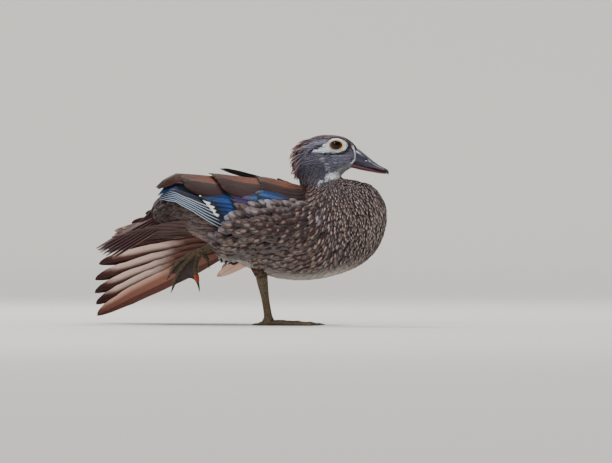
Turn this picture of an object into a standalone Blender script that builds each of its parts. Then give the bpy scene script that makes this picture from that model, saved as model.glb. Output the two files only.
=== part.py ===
"""A wood duck hen, life size, stretching: it stands on its right foot, with the left wing
and the left leg reaching back, the right wing folded and the tail tipped down.

The duck faces +X with its left side towards +Y. The origin is on the floor under the
standing foot's pad. Sizes are in millimetres, and the solids are modelled at that size,
then scaled to metres at the end.
"""

import math

import bmesh
import bpy
import numpy as np
from mathutils import Matrix, Vector

MM = 0.001
GAP = 0.3
FOOT_FROM_MIDLINE = 7.0

# Torso: x, centre height, half height, half width at stations from rump to breast
TORSO = [
    (-107, 104.4, 6, 6.5),
    (-104, 105, 11, 12.5),
    (-98, 106.4, 16, 17.5),
    (-86, 109, 20.6, 23),
    (-71, 107.2, 23.2, 28),
    (-54, 102.8, 27.8, 33.5),
    (-37, 97.2, 33.2, 38.5),
    (-20, 92, 37.9, 42.5),
    (-3, 88.5, 41.8, 45),
    (13, 85.6, 42.7, 47),
    (30, 83.8, 42.4, 48.5),
    (47, 87.5, 44.7, 48.5),
    (63, 92, 45.9, 47),
    (78, 94.2, 42.8, 43),
    (91, 96.9, 37.6, 36),
    (100.5, 98.6, 29, 28),
    (106, 100, 19, 19),
    (109, 101.5, 9, 10),
]
# Head: x, top, bottom, half width at stations from nape to bill
HEAD = [
    (23, 156, 146, 4),
    (25, 160.5, 142, 8),
    (30, 168, 136, 12.5),
    (37.5, 174, 131, 16),
    (46.5, 177.5, 128, 17.8),
    (56, 178.2, 130, 17.6),
    (65, 177.6, 136.5, 16.2),
    (71.6, 175.8, 142.8, 14.2),
    (77.5, 172, 146, 11),
    (82.5, 167.2, 148.4, 8),
]
# Neck: x, height, half length, half width, going up
NECK = [(56, 118, 24, 27), (52, 126, 22, 22.5), (49, 135, 20.5, 18.5), (47, 146, 20, 17)]
# Cut planes, each by a point and the way it faces, in x and z
HEAD_CUT = ((67.5, 138.2), (-0.176, 0.984))
NECK_CUT = ((68.3, 136.9), (-0.303, 0.953))
NECK_BACK = 22.0
FLESH_GRAIN = 2.4
TORSO_SHARE_KEPT = 0.07
HEAD_SHARE_KEPT = 0.06

EYE = dict(x=63.1, z=167.7, radius=7.2, from_midline=10.0)
LID = dict(half_length=6.4, half_height=4.6, thickness=0.85)
ORBIT = dict(from_midline=8.4, sizes=(12.5, 7.0, 9.2))
# Crest on the nape: x, height and slope back of each row's roots, from the crown down
CREST_ROWS = [
    (40, 174.5, 0.86), (34.5, 171, 0.66), (30, 165.5, 0.46), (27, 159.5, 0.26), (25.5, 153, 0.08),
]
CREST_HALF_WIDTH = 6.0
CREST_LENGTH = 13.0
CREST_WIDTH = 8.5

# Bill: x, top, bottom, half width, base to nail
BILL_UPPER = [
    (80, 165.4, 149.5, 7.6),
    (85, 162.3, 147.6, 7.7),
    (92, 155.6, 145.8, 7.4),
    (99, 150.0, 144.6, 7.1),
    (106, 146.4, 143.2, 6.6),
    (110, 144.6, 141.6, 5.2),
    (111.8, 142.6, 140.2, 2.8),
]
BILL_LOWER = [
    (79, 151.5, 144.4, 6.4),
    (88, 149.2, 142.9, 6.3),
    (98, 146.8, 141.4, 5.9),
    (105, 144.8, 140.7, 4.8),
    (108.2, 142.8, 140.4, 3.0),
]
NOSTRIL = dict(x=91.0, z=154.3, from_midline=5.2, half_length=2.2, half_height=1.0, depth=2.4)

# Left wing joints, from the shoulder out to the fingertip
SHOULDER = np.array([45.0, 22.0, 104.0])
ELBOW = np.array([20.0, 72.0, 126.0])
WRIST = np.array([8.0, 108.0, 85.0])
FINGERTIP = np.array([-34.0, 128.0, 63.0])
WING_TOP = np.array([0.024, 0.763, 0.647])
WING_BACK = np.array([-0.9995, 0.0314, 0.0])
# Primary feathers, innermost first: angle from straight back in the wing's plane, length
PRIMARIES = [
    (15, 110), (10.5, 117), (6, 125), (1, 133), (-4.5, 141),
    (-11, 147), (-17, 151), (-22, 152), (-26.5, 152), (-31, 153),
]
LEFT_TERTIAL_ROOTS = (np.array([30.0, 35.0, 125.0]), np.array([23.0, 50.0, 133.0]))
ALULA_FROM_WRIST = 14.0
ALULA_OUT = 8.4
VANE_THICKNESS = 0.55
VANE_CROWN = 0.02

# Tail: root, direction and size of the fan, and its coverts by root, pitch and length
TAIL_ROOT = np.array([-84.0, 0.0, 107.0])
TAIL_PITCH = 27.0
TAIL_LENGTH = 84.0
TAIL_HALF_SPREAD = 14.0
TAIL_ROLL = 9.0
TAIL_DROP = 2.0
TAIL_STACK = 1.05
TAIL_PAIRS = 6
TAIL_COVERTS = {
    "upper": dict(root=(-97.0, 0.0, 118.0), pitch=39, length=48, side=1),
    "under": dict(root=(-92.0, 0.0, 88.0), pitch=20, length=44, side=-1),
}

# Legs: the hock of the standing one, the hind toe's angle and length, and the other leg
HOCK = (-5.9, -14.0, 46.5)
HIND_TOE = (172, 11)
LEFT_HOCK = (-32.0, 47.0, 84.0)
LEFT_TOE_BASE = (-62.6, 61.0, 69.0)
LEFT_TOE_TIPS = {
    "inner": (-66.0, 54.0, 37.0),
    "middle": (-90.0, 66.0, 35.5),
    "outer": (-93.5, 74.0, 46.5),
}
LEFT_TOE_ARCH = np.array([-4.0, -2.0, 2.5])

COLOURS = {
    "back": (0.16, 0.11, 0.10, 1),
    "flank": (0.20, 0.15, 0.13, 1),
    "face": (0.24, 0.24, 0.29, 1),
    "bill": (0.20, 0.24, 0.38, 1),
    "eye": (0.02, 0.015, 0.015, 1),
    "flight": (0.24, 0.15, 0.13, 1),
    "folded": (0.05, 0.14, 0.27, 1),
    "skin": (0.17, 0.14, 0.09, 1),
    "claw": (0.02, 0.02, 0.02, 1),
}


def clear_scene():
    for item in list(bpy.data.objects):
        bpy.data.objects.remove(item)


def collection(name):
    made = bpy.data.collections.new(name)
    bpy.context.scene.collection.children.link(made)
    return made


def material(name):
    made = bpy.data.materials.get(name)
    if made:
        return made
    made = bpy.data.materials.new(name)
    made.use_nodes = True
    shader = made.node_tree.nodes["Principled BSDF"]
    shader.inputs["Base Color"].default_value = COLOURS[name]
    shader.inputs["Roughness"].default_value = 0.15 if name == "eye" else 0.7
    return made


def shape(points, faces, name="piece"):
    """A mesh object in the workshop collection, facing outwards."""
    mesh = bpy.data.meshes.new(name)
    mesh.from_pydata(np.asarray(points, float).tolist(), [], faces)
    work = bmesh.new()
    work.from_mesh(mesh)
    bmesh.ops.recalc_face_normals(work, faces=work.faces)
    work.to_mesh(mesh)
    work.free()
    made = bpy.data.objects.new(name, mesh)
    WORKSHOP.objects.link(made)
    return made


def smooth_rows(rows, count):
    """Even points along the Catmull-Rom curve through the given rows."""
    rows = np.asarray(rows, float)
    ends = np.vstack([2 * rows[0] - rows[1], rows, 2 * rows[-1] - rows[-2]])
    place = np.linspace(0, len(rows) - 1, count)
    i = np.minimum(place.astype(int), len(rows) - 2)
    f = (place - i)[:, None]
    a, b, c, d = ends[i], ends[i + 1], ends[i + 2], ends[i + 3]
    cubic = (3 * b - a - 3 * c + d) * f**3
    return 0.5 * (2 * b + (c - a) * f + (2 * a - 5 * b + 4 * c - d) * f**2 + cubic)


def loft(rings, name="piece"):
    """A closed tube through rings of points, with a flat cap at each end. The diagonals of
    its two faces match, so that a thin one that bends doesn't pass through itself."""
    rings = np.asarray(rings, float)
    count, sides = rings.shape[:2]
    faces = [tuple(range(sides)), tuple(range((count - 1) * sides, count * sides))]
    for i in range(count - 1):
        for j in range(sides):
            k = (j + 1) % sides
            a, b, c, d = i * sides + j, i * sides + k, (i + 1) * sides + k, (i + 1) * sides + j
            faces += [(a, b, c), (a, c, d)] if j < sides // 2 else [(a, b, d), (b, c, d)]
    return shape(rings.reshape(-1, 3), faces, name)


def oval(sides, power=2.0):
    """Unit superellipse: across and up at each of its points."""
    angle = np.arange(sides) * 2 * math.pi / sides
    c, s = np.cos(angle), np.sin(angle)
    return np.sign(c) * abs(c) ** (2 / power), np.sign(s) * abs(s) ** (2 / power)


def slices(rows, sides, power=2.0):
    """Upright ovals at x = row 0, from rows of x, centre height, half height, half width."""
    across, up = oval(sides, power)
    return [
        np.stack([np.full(sides, x), across * w, z + up * h], axis=1) for x, z, h, w in rows
    ]


def ellipsoid(centre, radii, segments=16, rings=10):
    bpy.ops.mesh.primitive_uv_sphere_add(segments=segments, ring_count=rings, radius=1)
    made = bpy.context.object
    made.data.transform(Matrix.Translation(Vector(centre)) @ Matrix.Diagonal([*radii, 1]))
    move_to(made, WORKSHOP)
    return made


def move_to(item, target):
    for owner in list(item.users_collection):
        owner.objects.unlink(item)
    target.objects.link(item)


def apply_modifiers(item):
    graph = bpy.context.evaluated_depsgraph_get()
    mesh = bpy.data.meshes.new_from_object(item.evaluated_get(graph))
    item.modifiers.clear()
    item.data = mesh


def keep_largest(item):
    """Drops every closed surface of the mesh but the one that holds the most."""
    work = bmesh.new()
    work.from_mesh(item.data)
    bmesh.ops.triangulate(work, faces=work.faces)
    left, best, best_volume = set(work.faces), [], -1.0
    while left:
        island, edge = [], [left.pop()]
        while edge:
            face = edge.pop()
            island.append(face)
            near = {f for e in face.edges for f in e.link_faces} & left
            left -= near
            edge.extend(near)
        volume = sum(
            f.verts[0].co.dot(f.verts[1].co.cross(f.verts[2].co)) / 6 for f in island
        )
        if volume > best_volume:
            best, best_volume = island, volume
    kept = set(best)
    bmesh.ops.delete(work, geom=[f for f in work.faces if f not in kept], context="FACES")
    work.to_mesh(item.data)
    work.free()


def is_closed(mesh):
    work = bmesh.new()
    work.from_mesh(mesh)
    closed = len(work.faces) > 0 and all(len(edge.link_faces) == 2 for edge in work.edges)
    work.free()
    return closed


def boolean(item, operation, others):
    """Joins the others to the item or cuts them from it, by the second solver where the
    first one leaves the surface open. It keeps the largest closed surface."""
    group = collection("operands")
    for other in others:
        group.objects.link(other)
    before = item.data
    for solver in ("EXACT", "MANIFOLD"):
        item.data = before
        step = item.modifiers.new("join", "BOOLEAN")
        step.operation, step.solver = operation, solver
        step.operand_type, step.collection = "COLLECTION", group
        apply_modifiers(item)
        keep_largest(item)
        if is_closed(item.data):
            break
    bpy.data.collections.remove(group)
    return item


def union(first, others):
    """Joins the other objects into the first, and removes them."""
    boolean(first, "UNION", others)
    for other in others:
        bpy.data.objects.remove(other)
    return first


def cut(item, cutter):
    return boolean(item, "DIFFERENCE", [cutter])


def copy_of(item):
    made = item.copy()
    made.data = item.data.copy()
    WORKSHOP.objects.link(made)
    return made


def grown(item, by=GAP):
    """A copy whose surface stands out by the gap, for cutting what lies on the item."""
    made = copy_of(item)
    step = made.modifiers.new("grow", "DISPLACE")
    step.strength, step.mid_level = by, 0
    apply_modifiers(made)
    made.hide_render = True
    made.display_type = "WIRE"
    return made


def bisected(item, point, facing, shift):
    """Keeps the side of a plane that it faces, capped, the plane first moved that way by shift."""
    normal = np.array([facing[0], 0, facing[1]])
    place = np.array([point[0], 0, point[1]]) + normal * shift
    work = bmesh.new()
    work.from_mesh(item.data)
    whole = list(work.verts) + list(work.edges) + list(work.faces)
    bmesh.ops.bisect_plane(work, geom=whole, plane_co=place, plane_no=normal, clear_inner=True)
    rim = [e for e in work.edges if e.is_boundary]
    bmesh.ops.triangle_fill(work, edges=rim, use_dissolve=False, normal=-normal)
    bmesh.ops.recalc_face_normals(work, faces=work.faces)
    work.to_mesh(item.data)
    work.free()
    keep_largest(item)
    return item


def finish(item, name, colour):
    """Names the node, gives it its material and puts it with the duck's parts."""
    item.name = item.data.name = name
    item.data.materials.clear()
    item.data.materials.append(material(colour))
    item.data.shade_smooth()
    item.data.set_sharp_from_angle(angle=math.radians(40))
    move_to(item, DUCK)
    item.parent = STAND_POINT
    return item


def unit(vector):
    vector = np.asarray(vector, float)
    return vector / np.linalg.norm(vector, axis=-1, keepdims=True)


VANE_STATIONS = np.array([0, 0.2, 0.58, 0.86, 1.0])
ROUND_TIP = np.array([0.25, 0.68, 1.0, 0.82, 0.16])
POINTED_TIP = np.array([0.25, 0.62, 1.0, 0.70, 0.12])


def blade(centre, side, top, outer, inner, thickness=VANE_THICKNESS, crown=VANE_CROWN):
    """A thin closed vane. Rows run root to tip: the shaft's line, the way across and the
    way up, and the half widths on either side of the shaft, which is raised by crown."""
    rise = (outer + inner)[:, None] * crown * top
    half = thickness / 2 * top
    lines = [centre - side * outer[:, None], centre + rise, centre + side * inner[:, None]]
    rings = [[l + half for l in lines], [l - half for l in reversed(lines)]]
    return loft(np.stack(rings[0] + rings[1], axis=1))


def free_vane(root, along, top, length, width, outer_share=0.5, droop=0.0, sweep=0.0,
              roll=0.0, profile=ROUND_TIP, crown=VANE_CROWN):
    """A vane in the air: a shaft that droops away from top and sweeps across with the
    square of the way along it, turned about itself by roll degrees."""
    along, top = unit(along), np.asarray(top, float)
    top = unit(top - along * np.dot(top, along))
    side = np.cross(along, top)
    s = VANE_STATIONS[:, None]
    centre = root + along * length * s - top * droop * s**2 + side * sweep * s**2
    turn = math.radians(roll)
    lean = math.cos(turn) * side + math.sin(turn) * top
    face = math.cos(turn) * top - math.sin(turn) * side
    count = len(VANE_STATIONS)
    outer = width * outer_share * profile
    inner = width * (1 - outer_share) * profile
    return blade(centre, np.tile(lean, (count, 1)), np.tile(face, (count, 1)), outer, inner, crown=crown)


def torso_at(x):
    """Centre height, half height and half width of the torso at x."""
    rows = np.array(TORSO, float)
    return [np.interp(x, rows[:, 0], rows[:, k]) for k in (1, 2, 3)]


def girth_angle(x, z):
    """Where the height z comes on the torso's side, as an angle up from its widest line."""
    centre, height, _ = torso_at(x)
    return np.degrees(np.arcsin(np.clip((z - centre) / height, -0.98, 0.98)))


def over_torso(x, angle, lift, hand=-1):
    """The point lift above the torso's skin at x and at that angle, on its right side."""
    centre, height, width = torso_at(x)
    turn = np.radians(angle)
    y = hand * (width + lift) * np.cos(turn)
    return np.stack([x, y, centre + (height + lift) * np.sin(turn)], axis=-1)


def side_vane(root, tip, width, lift, rise=0.0, tilt=0.12, share=0.5, bow=0.0,
              profile=ROUND_TIP, hand=-1, thickness=VANE_THICKNESS, crown=VANE_CROWN):
    """A vane that lies over the torso. Root and tip are x and the angle round the torso,
    lift is its height over the skin, which rises to the tip, and tilt lifts its lower edge.
    The share of its width lies below the shaft, and bow bends it upwards, in degrees."""
    s = VANE_STATIONS
    x = root[0] + (tip[0] - root[0]) * s
    angle = root[1] + (tip[1] - root[1]) * s + bow * 4 * s * (1 - s)
    _, height, breadth = torso_at(x)
    radius = (height + breadth) / 2
    ahead = np.gradient(x)
    round_it = radius * np.radians(np.gradient(angle))
    size = np.hypot(ahead, round_it)
    rows = []
    for v, raised in ((-share * width, 0), (0 * width, crown * width), ((1 - share) * width, 0)):
        across = v * profile
        px = x + across * round_it / size * -np.sign(ahead)
        pa = angle + np.degrees(across * abs(ahead) / size / radius)
        up = lift + rise * s - tilt * across + raised * profile
        rows.append((px, pa, up))
    top = [over_torso(px, pa, up + thickness / 2, hand) for px, pa, up in rows]
    low = [over_torso(px, pa, up - thickness / 2, hand) for px, pa, up in reversed(rows)]
    return loft(np.stack(top + low, axis=1))


def side_slab(front, back, low, high, edge=0.25, stations=7, across=7, hand=-1):
    """A rounded pad on the torso between two cross-lines, each x, lower and upper angle.
    It reaches from lift low to lift high, and thins to the edge's share at its sides."""
    s = np.linspace(0, 1, stations)
    x = front[0] + (back[0] - front[0]) * s
    first = front[1] + (back[1] - front[1]) * s
    last = front[2] + (back[2] - front[2]) * s
    u = np.linspace(-1, 1, across)
    ends = np.minimum(1, 4 * s + 0.3)
    top, bottom = [], []
    for v in u:
        angle = (first + last) / 2 + (last - first) / 2 * v
        full = low + (high - low) * (edge + (1 - edge) * np.sqrt(max(0, 1 - v * v))) * ends
        top.append(over_torso(x, angle, full, hand))
        bottom.append(over_torso(x, angle, np.full(stations, float(low)), hand))
    return loft(np.stack(top + bottom[::-1], axis=1))


def tube(path, widths, depths, up=(0, 0, 1), sides=12, steps=0, flat=0.0):
    """A limb along a path, with half widths across it and half depths along up. Its lower
    side is flattened where flat, a share of the depth, is above 0."""
    rows = np.column_stack([path, widths, depths]).astype(float)
    rows = smooth_rows(rows, steps) if steps else rows
    path, widths, depths = rows[:, :3], rows[:, 3], rows[:, 4]
    ahead = unit(np.gradient(path, axis=0))
    side = unit(np.cross(np.asarray(up, float), ahead))
    top = np.cross(ahead, side)
    turn = -math.pi / 2 + np.arange(sides) * 2 * math.pi / sides
    c, s = np.cos(turn), np.maximum(np.sin(turn), flat - 1)
    rings = (
        path[:, None]
        + side[:, None] * (widths[:, None] * c)[..., None]
        + top[:, None] * (depths[:, None] * s)[..., None]
    )
    return loft(rings)


def make_flesh():
    """The torso, neck and head as one smooth body, before they are parted."""
    torso = loft(slices(smooth_rows(TORSO, 40), 32, 2.15))
    across, along = oval(24)
    neck = loft([
        np.stack([x + along * length, across * width, np.full(24, z)], axis=1)
        for x, z, length, width in smooth_rows(NECK, 9)
    ])
    rows = [(x, (high + low) / 2, (high - low) / 2, width) for x, high, low, width in HEAD]
    head = loft(slices(smooth_rows(rows, 26), 24, 2.2))
    work = bmesh.new()
    for item in (torso, neck, head):
        work.from_mesh(item.data)
        bpy.data.objects.remove(item)
    mesh = bpy.data.meshes.new("flesh")
    work.to_mesh(mesh)
    work.free()
    flesh = bpy.data.objects.new("flesh", mesh)
    WORKSHOP.objects.link(flesh)
    grain = flesh.modifiers.new("grain", "REMESH")
    grain.mode, grain.voxel_size = "VOXEL", FLESH_GRAIN
    smooth = flesh.modifiers.new("smooth", "SMOOTH")
    smooth.factor, smooth.iterations = 0.5, 6
    apply_modifiers(flesh)
    keep_largest(flesh)
    return flesh


def thinned(item, share):
    fewer = item.modifiers.new("fewer", "DECIMATE")
    fewer.ratio = share
    apply_modifiers(item)
    return item


def box_over_neck():
    """The space that the neck and head stand in, down to the torso's cut."""
    (x, z), (nx, nz) = NECK_CUT
    half = 60
    corners = []
    for px in (NECK_BACK - GAP / 2, 100):
        floor = z - (px - x) * nx / nz - GAP / 2
        corners += [(px, y, floor) for y in (-half, half)] + [(px, y, 260) for y in (half, -half)]
    faces = [(0, 1, 2, 3), (4, 5, 6, 7)] + [(i, (i + 1) % 4, 4 + (i + 1) % 4, 4 + i) for i in range(4)]
    return shape(corners, faces)


def make_body():
    """The torso, the neck and the head before its details, parted by thin cuts."""
    flesh = make_flesh()
    upper = thinned(copy_of(flesh), HEAD_SHARE_KEPT)
    upper = bisected(upper, (NECK_BACK, 0), (1, 0), GAP / 2)
    upper = bisected(upper, *NECK_CUT, GAP / 2)
    neck = copy_of(upper)
    point, facing = HEAD_CUT
    head = bisected(upper, point, facing, GAP / 2)
    neck = bisected(neck, point, (-facing[0], -facing[1]), GAP / 2)
    cutter = box_over_neck()
    torso = cut(thinned(flesh, TORSO_SHARE_KEPT), cutter)
    bpy.data.objects.remove(cutter)
    return torso, neck, head


def make_head(head):
    """Orbits, lids and the shaggy crest on the nape. Returns the head, with its eyes made."""
    extra = crest()
    centres = []
    for side, name in ((-1, "eye_right"), (1, "eye_left")):
        centre = (EYE["x"], side * EYE["from_midline"], EYE["z"])
        extra += [ellipsoid((EYE["x"], side * ORBIT["from_midline"], EYE["z"]), ORBIT["sizes"], 12, 8)]
        extra += [eye_lid(side)]
        finish(ellipsoid(centre, [EYE["radius"]] * 3, 14, 9), name, "eye")
        centres.append(centre)
    head = union(head, extra)
    for centre in centres:
        socket = ellipsoid(centre, [EYE["radius"] + GAP] * 3, 14, 9)
        cut(head, socket)
        bpy.data.objects.remove(socket)
    return finish(head, "head", "face")


def crest():
    """Soft overlapping vanes that lie down the nape and stand off it only at their ends."""
    vanes = []
    for row, (x, z, slope) in enumerate(CREST_ROWS):
        way = unit((-slope, 0, -math.sqrt(1 - slope**2)))
        out = np.array([way[2], 0, -way[0]])
        for place in (-1, 0, 1) if row % 2 else (-0.5, 0.5):
            root = np.array([x, place * CREST_HALF_WIDTH, z]) - way * 1.5 - out * (0.4 + 1.6 * abs(place))
            face = out + np.array([0, 0.5 * place, 0])
            vanes.append(free_vane(root, way + out * 0.16 + np.array([0, 0.1 * place, 0]), face,
                                   CREST_LENGTH, CREST_WIDTH))
    return vanes


def eye_lid(side):
    """A ring of skin round the eye's opening, longer than high, that lies over the ball."""
    turn = np.arange(16) * 2 * math.pi / 16
    section = np.arange(5) * 2 * math.pi / 5
    wide, high, ring = LID["half_length"], LID["half_height"], LID["thickness"]
    rim = np.stack([np.cos(turn) * wide, 0 * turn, np.sin(turn) * high], axis=1)
    over = np.sqrt((EYE["radius"] + GAP) ** 2 - (rim**2).sum(axis=1))
    base = rim + [EYE["x"], 0, EYE["z"]]
    base[:, 1] = side * (EYE["from_midline"] + over + 0.3 * ring)
    away = np.stack([np.cos(turn), 0 * turn, np.sin(turn)], axis=1)
    rings = base[:, None] + away[:, None] * (ring * np.cos(section))[:, None]
    rings = rings + np.array([0, side * ring, 0]) * np.sin(section)[:, None]
    faces = []
    count, sides = rings.shape[:2]
    for i in range(count):
        k = (i + 1) % count
        for j in range(sides):
            m = (j + 1) % sides
            faces.append((i * sides + j, i * sides + m, k * sides + m, k * sides + j))
    return shape(rings.reshape(-1, 3), faces)


def bill_half(rows, power):
    rows = [(x, (top + low) / 2, (top - low) / 2, w) for x, top, low, w in rows]
    return loft(slices(smooth_rows(rows, 8), 10, power))


def make_bill(head):
    """Both halves of the bill, parted along the line of the mouth."""
    near = grown(head)
    upper = bill_half(BILL_UPPER, 2.3)
    lower = bill_half(BILL_LOWER, 2.3)
    for side in (-1, 1):
        centre = (NOSTRIL["x"], side * NOSTRIL["from_midline"], NOSTRIL["z"])
        sizes = (NOSTRIL["half_length"], NOSTRIL["depth"], NOSTRIL["half_height"])
        hole = ellipsoid(centre, sizes, 10, 6)
        cut(upper, hole)
        bpy.data.objects.remove(hole)
    cut(upper, near)
    cut(lower, near)
    over = grown(upper)
    cut(lower, over)
    for item in (near, over):
        bpy.data.objects.remove(item)
    finish(upper, "bill_upper", "bill")
    finish(lower, "bill_lower", "bill")


def make_right_wing(torso, neck):
    """The folded wing: the arm's pad and the tiers of feathers that lie over it."""
    arm = side_slab((56, -2, 16), (-8, -24, 32), 0.3, 4.4)
    finish(arm, "wing_right_arm", "flank")
    groups = {
        "primaries": right_primaries(),
        "secondaries": right_secondaries(),
        "coverts": right_coverts(),
        "tertials": right_tertials(),
        "scapulars": right_scapulars(),
    }
    near = [grown(torso), grown(neck)]
    cut(arm, near[0])
    for name, (core, vanes) in groups.items():
        made = union(core, vanes)
        for item in near:
            cut(made, item)
        finish(made, "wing_right_" + name, "back" if name in ("tertials", "scapulars") else "folded")
    for item in near:
        bpy.data.objects.remove(item)


def right_tier(count, roots, tips, width, lift, rise, step=0.1, step_rise=0.0, tilt=0.16, bow=0.0,
               share=0.45, profile=ROUND_TIP):
    """Vanes of the folded wing, lowest first, between two roots and two tips. Each is step
    higher than the one below, and step_rise more at its tip."""
    vanes = []
    for i in range(count):
        f = i / (count - 1)
        root, tip = ([a + (b - a) * f for a, b in zip(*ends)] for ends in (roots, tips))
        vanes.append(side_vane(root, tip, width, lift + step * i, rise=rise + step_rise * i, tilt=tilt,
                               bow=bow, share=share, profile=profile))
    return vanes


def at(x, z):
    """The place on the torso's side that is seen at x and the height z."""
    return x, girth_angle(x, z)


def right_primaries():
    """Silver-edged primaries, the outermost lowest, each under the next one in."""
    core = side_slab((-8.3, -24, 20), (-20, -24, 26), 0.4, 2.6, edge=0.6)
    vanes = right_tier(6, (at(-14, 74), at(-14, 103)), (at(-99, 112), at(-101, 124)), 13, 2.3, 0.2,
                       step=0.24, step_rise=0.9, tilt=0.2, bow=-5, profile=POINTED_TIP)
    return core, vanes


def right_secondaries():
    """Blue secondaries with white tips, over the primaries."""
    core = side_slab((-8.3, -12, 30), (-18, -12, 32), 4.3, 6.8, edge=0.8)
    vanes = right_tier(6, (at(-12, 86), at(-12, 114)), (at(-42, 95), at(-62, 118)), 14, 5.9, 1.6,
                       step=0.35, step_rise=0.25, tilt=0.2)
    return core, vanes


def right_coverts():
    """Greater coverts over the secondaries' roots."""
    core = side_slab((14, -12, 36), (0, -12, 38), 5.4, 8.6, edge=0.8)
    vanes = right_tier(6, (at(7, 82), at(7, 110)), (at(-27, 94), at(-36, 120)), 13, 7.6, 2.8,
                       step=0.35, tilt=0.2)
    return core, vanes


def right_tertials():
    """Long tertials along the upper edge of the folded wing."""
    core = side_slab((-4, 46, 72), (-16, 46, 74), 0.4, 3.4, edge=0.6)
    vanes = right_tier(3, ((-10, 50), (-10, 72)), ((-70, 50), (-79, 78)), 17, 2.6, 7.2, step=0.1, tilt=0.2)
    return core, vanes


def right_scapulars():
    """Shoulder feathers, in two rows, over the tertials' roots."""
    core = side_slab((21, 44, 80), (6, 44, 84), 0.4, 4.0, edge=0.8)
    vanes = right_tier(4, ((14, 52), (14, 80)), ((-50, 50), (-56, 80)), 18, 2.8, 8.3, step=0.32, tilt=0.2)
    return core, vanes


def wing_way(angle):
    """A direction in the left wing's plane: degrees up from straight back."""
    turn = math.radians(angle)
    return math.cos(turn) * WING_BACK + math.sin(turn) * np.cross(WING_TOP, WING_BACK)


def make_left_wing(torso):
    """The stretched wing: arm, forearm and hand, and the feathers that grow from them."""
    upper = tube([SHOULDER, (SHOULDER + ELBOW) / 2, ELBOW], [13, 10, 7.5], [12, 9, 6.5], steps=7)
    cut_by(upper, torso)
    inner = ELBOW + unit(ELBOW - WRIST) * 3
    forearm = tube([inner, ELBOW * 0.5 + WRIST * 0.5, WRIST], [8, 7.5, 6.5], [6, 5.5, 5],
                   up=WING_TOP, steps=7)
    cut_by(forearm, upper)
    start = WRIST - unit(FINGERTIP - WRIST) * 4
    hand = tube([start, WRIST * 0.6 + FINGERTIP * 0.4, FINGERTIP], [7, 6.5, 3.2], [4.8, 3.8, 2.2],
                up=WING_TOP, steps=7)
    cut_by(hand, forearm)
    groups = {
        "primaries": left_primaries(),
        "secondaries": left_secondaries(),
        "primary_coverts": left_primary_coverts(),
        "secondary_coverts": left_secondary_coverts(),
        "alula": left_alula(),
        "tertials": left_tertials(),
    }
    solids = [hand, forearm, upper]
    near = [grown(item) for item in solids + [torso]]
    for name, (core, vanes) in groups.items():
        made = union(core, vanes)
        for item in near:
            cut(made, item)
        finish(made, "wing_left_" + name, "flight")
    for item in near:
        bpy.data.objects.remove(item)
    finish(hand, "wing_left_hand", "flight")
    finish(forearm, "wing_left_forearm", "flight")
    finish(upper, "wing_left_upper_arm", "flank")


def cut_by(item, other):
    near = grown(other)
    cut(item, near)
    bpy.data.objects.remove(near)


def behind(start, end, shift, lift=0.0):
    """Start and end of a line moved back across the bone in the wing's plane, and lifted."""
    ahead = unit(end - start)
    back = np.cross(ahead, WING_TOP)
    back = back * np.sign(np.dot(back, WING_BACK))
    move = back * shift + WING_TOP * lift
    return start + move, end + move


def left_primaries():
    start, end = behind(WRIST, FINGERTIP, 7.6)
    core = tube([start, (start + end) / 2, end], [2.0, 2.0, 1.6], [2.8, 2.5, 2.4], up=WING_TOP, sides=8)
    vanes = []
    for i, (angle, length) in enumerate(PRIMARIES):
        root = start + (end - start) * (i + 0.3) / len(PRIMARIES) + WING_TOP * 0.45 * (4.5 - i)
        vanes.append(free_vane(root, wing_way(angle), WING_TOP, length, 24 - 0.4 * i, 0.68,
                               roll=12, profile=POINTED_TIP))
    return core, vanes


def left_secondaries():
    start, end = behind(WRIST, ELBOW, 8.4, 3.6)
    start = start + (end - start) * 0.10
    core = tube([start, (start + end) / 2, end], [1.9] * 3, [1.5] * 3, up=WING_TOP, sides=8)
    vanes = []
    for i in range(9):
        f = i / 8
        root = start + (end - start) * (i + 0.4) / 9 + WING_TOP * 0.2 * (i - 4)
        vanes.append(free_vane(root, wing_way(17 - 5 * f), WING_TOP, 90 - 4 * f, 21, 0.66, roll=13))
    return core, vanes


def left_primary_coverts():
    start, end = behind(WRIST, FINGERTIP, 3.5, 7.4)
    core = tube([start, (start + end) / 2, end], [1.8] * 3, [0.9] * 3, up=WING_TOP, sides=8)
    vanes = []
    for i in range(7):
        f = i / 6
        root = start + (end - start) * (i + 0.3) / 7 + WING_TOP * 0.4 * (3 - i)
        vanes.append(free_vane(root, wing_way(16 - 44 * f), WING_TOP, 44 + 4 * f, 15, 0.62, roll=12))
    return core, vanes


def left_secondary_coverts():
    start, end = behind(WRIST, ELBOW, 3.5, 8.5)
    start = start + (end - start) * 0.12
    core = tube([start, (start + end) / 2, end], [1.8] * 3, [0.9] * 3, up=WING_TOP, sides=8)
    vanes = []
    for i in range(7):
        f = i / 6
        root = start + (end - start) * (i + 0.4) / 7
        vanes.append(free_vane(root, wing_way(18 - 5 * f), WING_TOP, 40, 17, 0.62, roll=13))
    return core, vanes


def left_alula():
    """The thumb's feathers, hanging apart below the hand's leading edge."""
    ahead = unit(FINGERTIP - WRIST)
    root = WRIST + ahead * ALULA_FROM_WRIST + np.cross(WING_BACK, WING_TOP) * ALULA_OUT
    core = tube([root - ahead * 6, root, root + ahead * 5], [1.7] * 3, [2.0] * 3, up=WING_TOP, sides=8)
    vanes = [
        free_vane(root + WING_TOP * 1.2 * (i - 1), wing_way(-36 + 4 * i), WING_TOP, 61 - 10 * i, 12.5 - i, 0.5)
        for i in range(3)
    ]
    return core, vanes


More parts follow.
